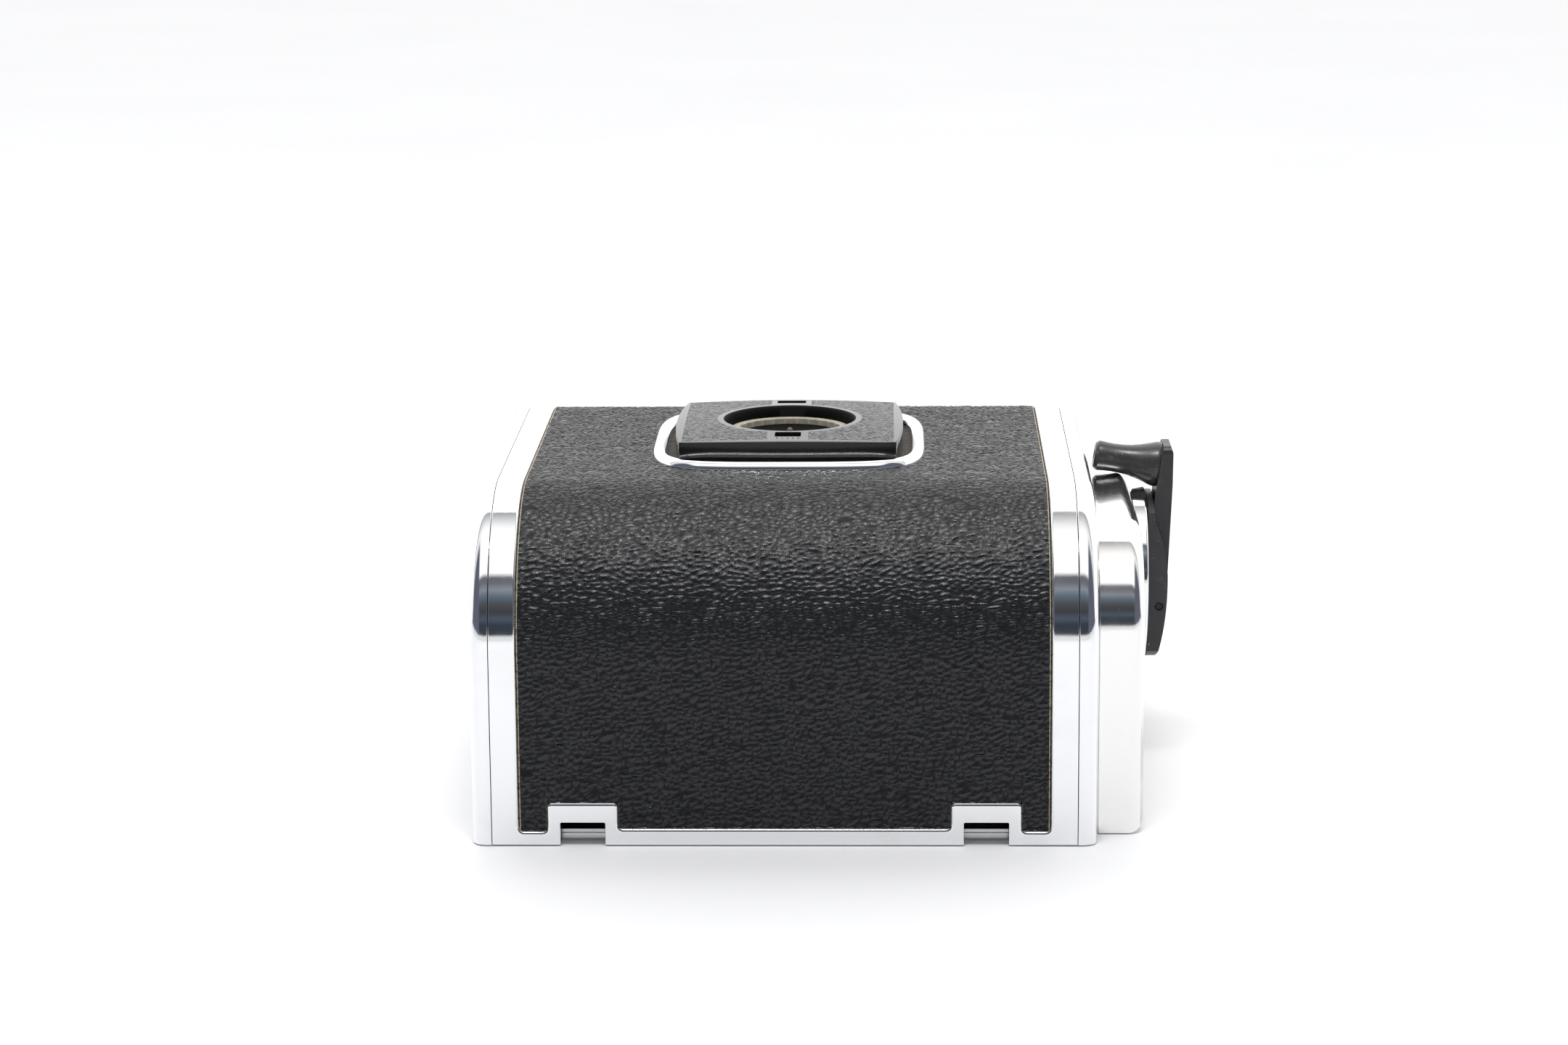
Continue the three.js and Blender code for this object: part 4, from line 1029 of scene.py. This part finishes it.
def slotted_screw(name, centre, axis, radius, height, body, turn=0.0):
    """Cheese-head screw whose head rises from centre along +axis or, with a negative height, along -axis."""
    rise = abs(height)
    flip = -1 if height < 0 else 1
    head = [(0, 0), (radius, 0), (radius, rise - 0.3), (radius - 0.1, rise - 0.12), (radius - 0.35, rise),
            (0, rise)]
    obj = turned(name + "_head", [(r, flip * h) for r, h in head], centre, axis, 48)
    reach, half = radius + 1, 0.24
    c, s = math.cos(turn), math.sin(turn)
    corners = [(c * u - s * v, s * u + c * v)
               for u, v in ((-reach, -half), (reach, -half), (reach, half), (-reach, half))]
    levels = sorted((flip * (rise - 0.45), flip * (rise + 1)))
    slot = plate("slot", [(np.array(corners), 0, 0)], *levels, lambda p: ALONG[axis](p) + centre)
    dress(combine(obj, [slot]), STEEL, body, name)


def front_plates():
    low, high = node_box("front_plate")
    gate = rectangle(GATE, (MID_Y + GATE[0], MID_Y + GATE[1]), 0.8)
    hooks = [rectangle((side * HOOK_X - HOOK_HALF, side * HOOK_X + HOOK_HALF), span, 0.5)
             for side in (-1, 1) for span in ((4, 8), (LENGTH - 8, LENGTH - 4))]
    screws = [node_middle(f"front_screw_{k + 1}") for k in range(4)]
    heads = [circle(1.95, middle.x, middle.y, 40) for middle in screws]
    sheet = rectangle((low.x, high.x), (low.y, high.y), 0.6)
    holes = [(loop, 0.1, 0.25) for loop in (gate, *hooks, *heads)]
    face = plate("front_face_plate", [(sheet, 0.1, 0.25), *holes], 0, 1.05, steps=3)
    dress(face, SATIN, "magazine", "front_plate")
    dress(plate("front_backing", [(sheet, 0.1, 0), (gate, 0.1, 0)], 1.1, high.z, steps=2), SATIN)
    for k, middle in enumerate(screws):
        slotted_screw(f"front_screw_{k + 1}", (middle.x, middle.y, 1.0), "z", 1.7, -0.75, "magazine", 0.4 * k)
    low, high = node_box("film_gate")
    sheet = rectangle((low.x, high.x), (low.y, high.y), 1.0)
    loops = [(sheet, 0.15, 0.15), (gate, 0.3, 0.3)]
    gate_plate = plate("film_gate_plate", loops, low.z, low.z + 1.2, steps=3)
    dress(gate_plate, PAINT, "magazine", "film_gate")
    for name, x in (("left", -31), ("right", 31)):
        rail = box_solid(f"film_rail_{name}", (x - 1.5, x + 1.5), (15, 76), (low.z + 1.1, high.z), 0.18)
        dress(rail, STEEL)


# ---------- film insert ----------
KEY = joint_point("key_turn")
KEY_R = 12.6


def screw_places():
    return [(middle.y, middle.z) for middle in (node_middle(f"insert_screw_{k + 1}") for k in range(4))]


def insert_door():
    low, high = node_box("insert_end_plate")
    face = dee((low.y + 0.1, high.y - 0.1), (low.z + 0.1, high.z - 0.1), 16.8, 2.0)
    heads = [(circle(1.85, y, z, 40), 0, 0.15) for y, z in screw_places()]
    seat = circle(KEY_R + 0.3, KEY.y, KEY.z, 128)
    step = low.x + 1.15
    outer = plate("insert_door_face", [(face, 0.05, 0.55), (seat, 0.05, 0.35), *heads], low.x, step, along_x)
    dress(outer, CHROME, "film_insert", "insert_end_plate")
    core = circle(2.25, KEY.y, KEY.z, 40)
    inner = plate("insert_door_core", [(face, 0, 0.05), (core, 0, 0.2)], step + 0.03, high.x, along_x)
    dress(inner, SATIN, "film_insert")
    for k, (y, z) in enumerate(screw_places()):
        slotted_screw(f"insert_screw_{k + 1}", (step, y, z), "x", 1.6, -1.0, "film_insert", 0.9 * k + 0.3)


def insert_key():
    low, high = node_box("insert_key")
    stem = [(0, low.x + 0.35), (2.7, low.x + 0.35), (2.95, low.x + 0.5), (3.0, low.x + 0.8),
            (3.0, low.x + 0.95), (2.0, low.x + 0.95), (2.0, high.x), (0, high.x)]
    dress(turned("key_hub", stem, (0, KEY.y, KEY.z), "x", 64), STEEL, "key", "insert_key")
    for side, name in ((-1, "lower"), (1, "upper")):
        across = sorted((KEY.y + side * 1.9, KEY.y + side * 2.9))
        ear = box_solid(f"key_ear_{name}", (low.x, low.x + 0.45), across, (KEY.z - 0.7, KEY.z + 0.7), 0.12)
        dress(ear, STEEL, "key")
    low, high = node_box("key_lock_bar")
    outline = rectangle((low.y, high.y), (low.z, high.z), 1.2)
    hole = circle(2.2, KEY.y, KEY.z, 40)
    bar = plate("key_lock_plate", [(outline, 0.15, 0.15), (hole, 0.1, 0.1)], low.x, high.x, along_x)
    dress(bar, STEEL, "key", "key_lock_bar")

    low, high = node_box("key_bow")
    outer, inner, eye, front, rear = 11.5, 8.7, 3.3, -0.55, 0.6

    def arc(radius, angles, side=1):
        return [(side * radius * math.cos(a), radius * math.sin(a)) for a in angles]

    arch = arc(outer, np.linspace(0, math.pi, 49))
    arch += [(-outer, front), (-eye, front), (-eye, rear), (-inner, rear)]
    arch += arc(inner, np.linspace(0.12, math.pi - 0.12, 41), -1)
    arch += [(inner, rear), (eye, rear), (eye, front), (outer, front)]
    outline = np.array(arch) + (KEY.y, KEY.z)
    bow = plate("key_bow_ring", [(outline, 0.18, 0.18)], low.x, high.x, along_x, steps=3)
    dress(bow, CHROME, "bow", "key_bow")


def turned_at(node, name, profile, steps=48):
    """Turned piece about the node's own axis along x."""
    middle = node_middle(node)
    return turned(name, profile, (0, middle.y, middle.z), "x", steps)


def insert_inside():
    low, high = node_box("takeup_spool")
    flange, core = (high.z - low.z) / 2, 5.6
    end = [(3.0, 0), (flange - 0.25, 0), (flange, 0.25), (flange, 0.95), (flange - 0.2, 1.2),
           (core + 0.4, 1.2), (core, 1.6)]
    reel = turned_at("takeup_spool", "takeup_spool_reel", both_ends(low.x, high.x, end), 96)
    dress(reel, BLACK, "spool", "takeup_spool")
    for side in ("lower", "upper"):
        node = f"film_roller_{side}"
        low, high = node_box(node)
        r = (high.z - low.z) / 2
        end = [(0, 0), (0.8, 0), (0.8, 1.6), (r - 0.3, 1.6), (r, 1.9)]
        dress(turned_at(node, node + "_bar", both_ends(low.x, high.x, end)), STEEL, f"roller_{side}", node)
    low, high = node_box("pressure_plate")
    pad = box_solid("pressure_pad", *zip(low, high), 0.4)
    dress(pad, PAINT, "pressure", "pressure_plate", slot="black_plastic")
    for node in ("spool_pin_supply_left", "spool_pin_supply_right", "spool_pin_takeup_left"):
        low, high = node_box(node)
        near, far = (low.x + 2.1, low.x + 3.3) if "left" in node else (high.x - 3.1, high.x - 1.9)
        profile = [(0, low.x), (1.9, low.x), (2.4, low.x + 0.5), (2.4, near), (4.0, near), (4.0, far),
                   (2.4, far), (2.4, high.x - 0.5), (1.9, high.x), (0, high.x)]
        dress(turned_at(node, node + "_turned", profile), STEEL, "film_insert", node)


def insert_chassis():
    low, high = node_box("insert_frame")
    rollers = [circle(1.1, middle.y, middle.z, 32)
               for middle in (node_middle("film_roller_lower"), node_middle("film_roller_upper"))]
    takeup, supply = joint_point("spool_turn"), node_middle("spool_pin_supply_left")
    outline = dee((low.y, high.y), (low.z, high.z), 14.0, 1.0)
    key_hole = circle(2.9, KEY.y, KEY.z, 48)
    flanges = (("left", (-37.8, -36.6), 2.7, [key_hole]), ("right", (36.8, 38.0), 3.6, []))
    for side, across, takeup_r, more in flanges:
        holes = [circle(takeup_r, takeup.y, takeup.z, 48), circle(2.7, supply.y, supply.z, 48),
                 *rollers, *more]
        loops = [(outline, 0.2, 0.2), *[(hole, 0.1, 0.1) for hole in holes]]
        sheet = plate(f"insert_flange_{side}", loops, *across, along_x, steps=3)
        dress(sheet, PAINT, "film_insert", *(["insert_frame"] if side == "left" else []))
    dress(box_solid("insert_panel", (-36.7, 36.9), (16, 75), (8.8, 10), 0.3), PAINT, "film_insert")
    for k, (y, z) in enumerate(screw_places()):
        post = turned(f"insert_post_{k + 1}", soft_bar(2.2, -39.95, -37.75, 0.15, 1.0), (0, y, z), "x", 40)
        dress(post, PAINT, "film_insert")


# ---------- catch ----------
def catch_button():
    low, high = node_box("catch_button")
    base = box_solid("catch_thumb_piece", (low.x, high.x), (low.y, high.y - 0.5), (low.z, high.z), 0.4)
    dress(base, CHROME, "catch", "catch_button")
    for k in range(5):
        x = (low.x + high.x) / 2 + 2 * (k - 2)
        rib = box_solid(f"catch_rib_{k + 1}", (x - 0.45, x + 0.45), (high.y - 0.9, high.y),
                        (low.z + 0.4, high.z - 0.4), 0.3)
        dress(rib, CHROME, "catch")


# ---------- counter ----------
def counter_numbers():
    """The numbers 1 to 12 printed round the counter disc, the first of them behind the window."""
    middle, face = node_middle("counter_disc"), node_box("counter_disc")[1].x + 0.02
    bm = bmesh.new()
    for k in range(12):
        text = bpy.data.curves.new("number", "FONT")
        text.body = str(k + 1)
        text.size = 2.3
        text.align_x, text.align_y = "CENTER", "CENTER"
        text.extrude = 0.03
        maker = bpy.data.objects.new("number", text)
        bpy.context.scene.collection.objects.link(maker)
        mesh = bpy.data.meshes.new_from_object(maker.evaluated_get(bpy.context.evaluated_depsgraph_get()))
        turn = -2 * math.pi * k / 12
        c, s = math.cos(turn), math.sin(turn)
        for vert in mesh.vertices:
            u, v = vert.co.x, vert.co.y + 4.6
            spot = (face + vert.co.z, middle.y + c * u - s * v, middle.z + s * u + c * v)
            vert.co = in_frame(np.array(spot))
        bm.from_mesh(mesh)
        bpy.data.objects.remove(maker)
        bpy.data.meshes.remove(mesh)
    dress(finish_mesh("counter_numerals", bm, 40, False), INK, "counter_body")


# ---------- stage ----------
# Levels round the room, by the angle over the object: from the horizon on the camera's side (0), over the top
# to the far one (1). The dark stops between 0.018 and 0.266 are what the bright metal mirrors.
ROOM = [(0.0, 0.9), (0.010, 0.9),
        (0.018, (0.045, 0.055, 0.07)), (0.060, (0.04, 0.05, 0.065)), (0.085, (0.08, 0.105, 0.14)),
        (0.115, (0.055, 0.055, 0.06)), (0.150, (0.08, 0.085, 0.095)), (0.185, (0.13, 0.17, 0.22)),
        (0.212, (0.28, 0.30, 0.34)), (0.240, (0.16, 0.17, 0.19)), (0.266, (0.14, 0.145, 0.16)),
        (0.290, 1.4), (0.46, 1.35), (0.52, 1.05), (0.598, 0.4), (0.603, 1.7), (1.0, 1.7)]
FLANK = (0.12, 0.13, 0.17)
FLOOR_HALF = 6.0
LAMP_AT = (0.0, -0.38, 1.15)


def stage():
    floor_mesh = bpy.data.meshes.new("floor")
    corners = [(x * FLOOR_HALF, y * FLOOR_HALF, 0) for x, y in ((-1, -1), (1, -1), (1, 1), (-1, 1))]
    floor_mesh.from_pydata(corners, [], [(0, 1, 2, 3)])
    floor = bpy.data.objects.new("floor", floor_mesh)
    floor.location.z = -0.0002
    bpy.context.scene.collection.objects.link(floor)
    s = Surface("white_floor", Roughness=0.6, Emission_Strength=0.06, Emission_Color=(1, 1, 1, 1))
    s.paint("Base Color", s.cloud(0.01, 2, 0.5, (0.3, (0.72, 0.72, 0.725)), (0.7, (0.74, 0.74, 0.745))))
    floor_mesh.materials.append(s.material)

    world = bpy.data.worlds.new("studio")
    bpy.context.scene.world = world
    world.use_nodes = True
    sky = Nodes(world.node_tree)
    split = sky.node("ShaderNodeSeparateXYZ")
    sky.link(sky.node("ShaderNodeTexCoord").outputs["Generated"], split.inputs["Vector"])

    def rise(value, low, high):
        """0 up to low and 1 from high."""
        made = sky.node("ShaderNodeMapRange")
        made.inputs["From Min"].default_value = low
        made.inputs["From Max"].default_value = high
        sky.link(value, made.inputs["Value"])
        return made.outputs["Result"]

    back = sky.math("MULTIPLY", split.outputs["Y"], -1.0)
    height = sky.math("MAXIMUM", split.outputs["Z"], 0.0)
    over = sky.math("DIVIDE", sky.math("ARCTAN2", height, back), math.pi)
    beside = rise(sky.math("ABSOLUTE", split.outputs["X"]), 0.46, 0.60)
    flank = sky.math("MULTIPLY", beside, rise(back, -0.05, 0.15))
    flank = sky.math("MULTIPLY", flank, sky.math("GREATER_THAN", split.outputs["Z"], 0.03))
    light = sky.mix(flank, sky.ramp(over, ROOM), FLANK)
    sky.link(light, sky.tree.nodes["Background"].inputs["Color"])

    softbox = bpy.data.lights.new("softbox", "AREA")
    softbox.shape = "RECTANGLE"
    softbox.size, softbox.size_y = 0.44, 0.26
    softbox.energy = 8.5
    lamp = bpy.data.objects.new("softbox", softbox)
    lamp.location = LAMP_AT
    lamp.rotation_euler = (math.atan2(LAMP_AT[1], LAMP_AT[2]), 0, 0)
    bpy.context.scene.collection.objects.link(lamp)


CAMERA_AT = Vector((14.30, -529.95, 162.99))
PAN, TILT, ROLL = -0.026494, 0.219158, -0.0072843
LENS = 93.473
SENSOR = 36


def camera():
    """A long lens beyond the lower end, looking down a little."""
    data = bpy.data.cameras.new("camera")
    data.sensor_width = SENSOR
    data.lens = LENS
    data.clip_start = 0.01
    obj = bpy.data.objects.new("camera", data)
    bpy.context.scene.collection.objects.link(obj)
    obj.location = (CAMERA_AT + Vector((X0, Y0, 0))) * MM
    forward = Vector((math.sin(PAN) * math.cos(TILT), math.cos(PAN) * math.cos(TILT), -math.sin(TILT)))
    right = Vector((math.cos(PAN), -math.sin(PAN), 0))
    up = right.cross(forward)
    rolled_right = math.cos(ROLL) * right + math.sin(ROLL) * up
    rolled_up = -math.sin(ROLL) * right + math.cos(ROLL) * up
    rows = [(rolled_right[i], rolled_up[i], -forward[i]) for i in range(3)]
    obj.rotation_euler = Matrix(rows).to_euler()
    bpy.context.scene.camera = obj


def cad_materials():
    """Node materials for the CAD nodes that stay in view."""
    slots = {part["node"]: part["material_slot"] for part in frame["record"]["subparts"]}
    for name, obj in frame["nodes"].items():
        obj.data.materials.clear()
        obj.data.materials.append(LOOKS[slots[name]][0])


for make in (cad_materials, casing, leather, side_covers, gear_housing, bezel, dial_plate, speed_dial,
             crank_boss, crank_hub, crank_arm, knob, front_plates, insert_door, insert_key, insert_inside,
             insert_chassis, catch_button, counter_numbers, stage, camera):
    make()
bpy.context.scene.view_settings.view_transform = "Standard"
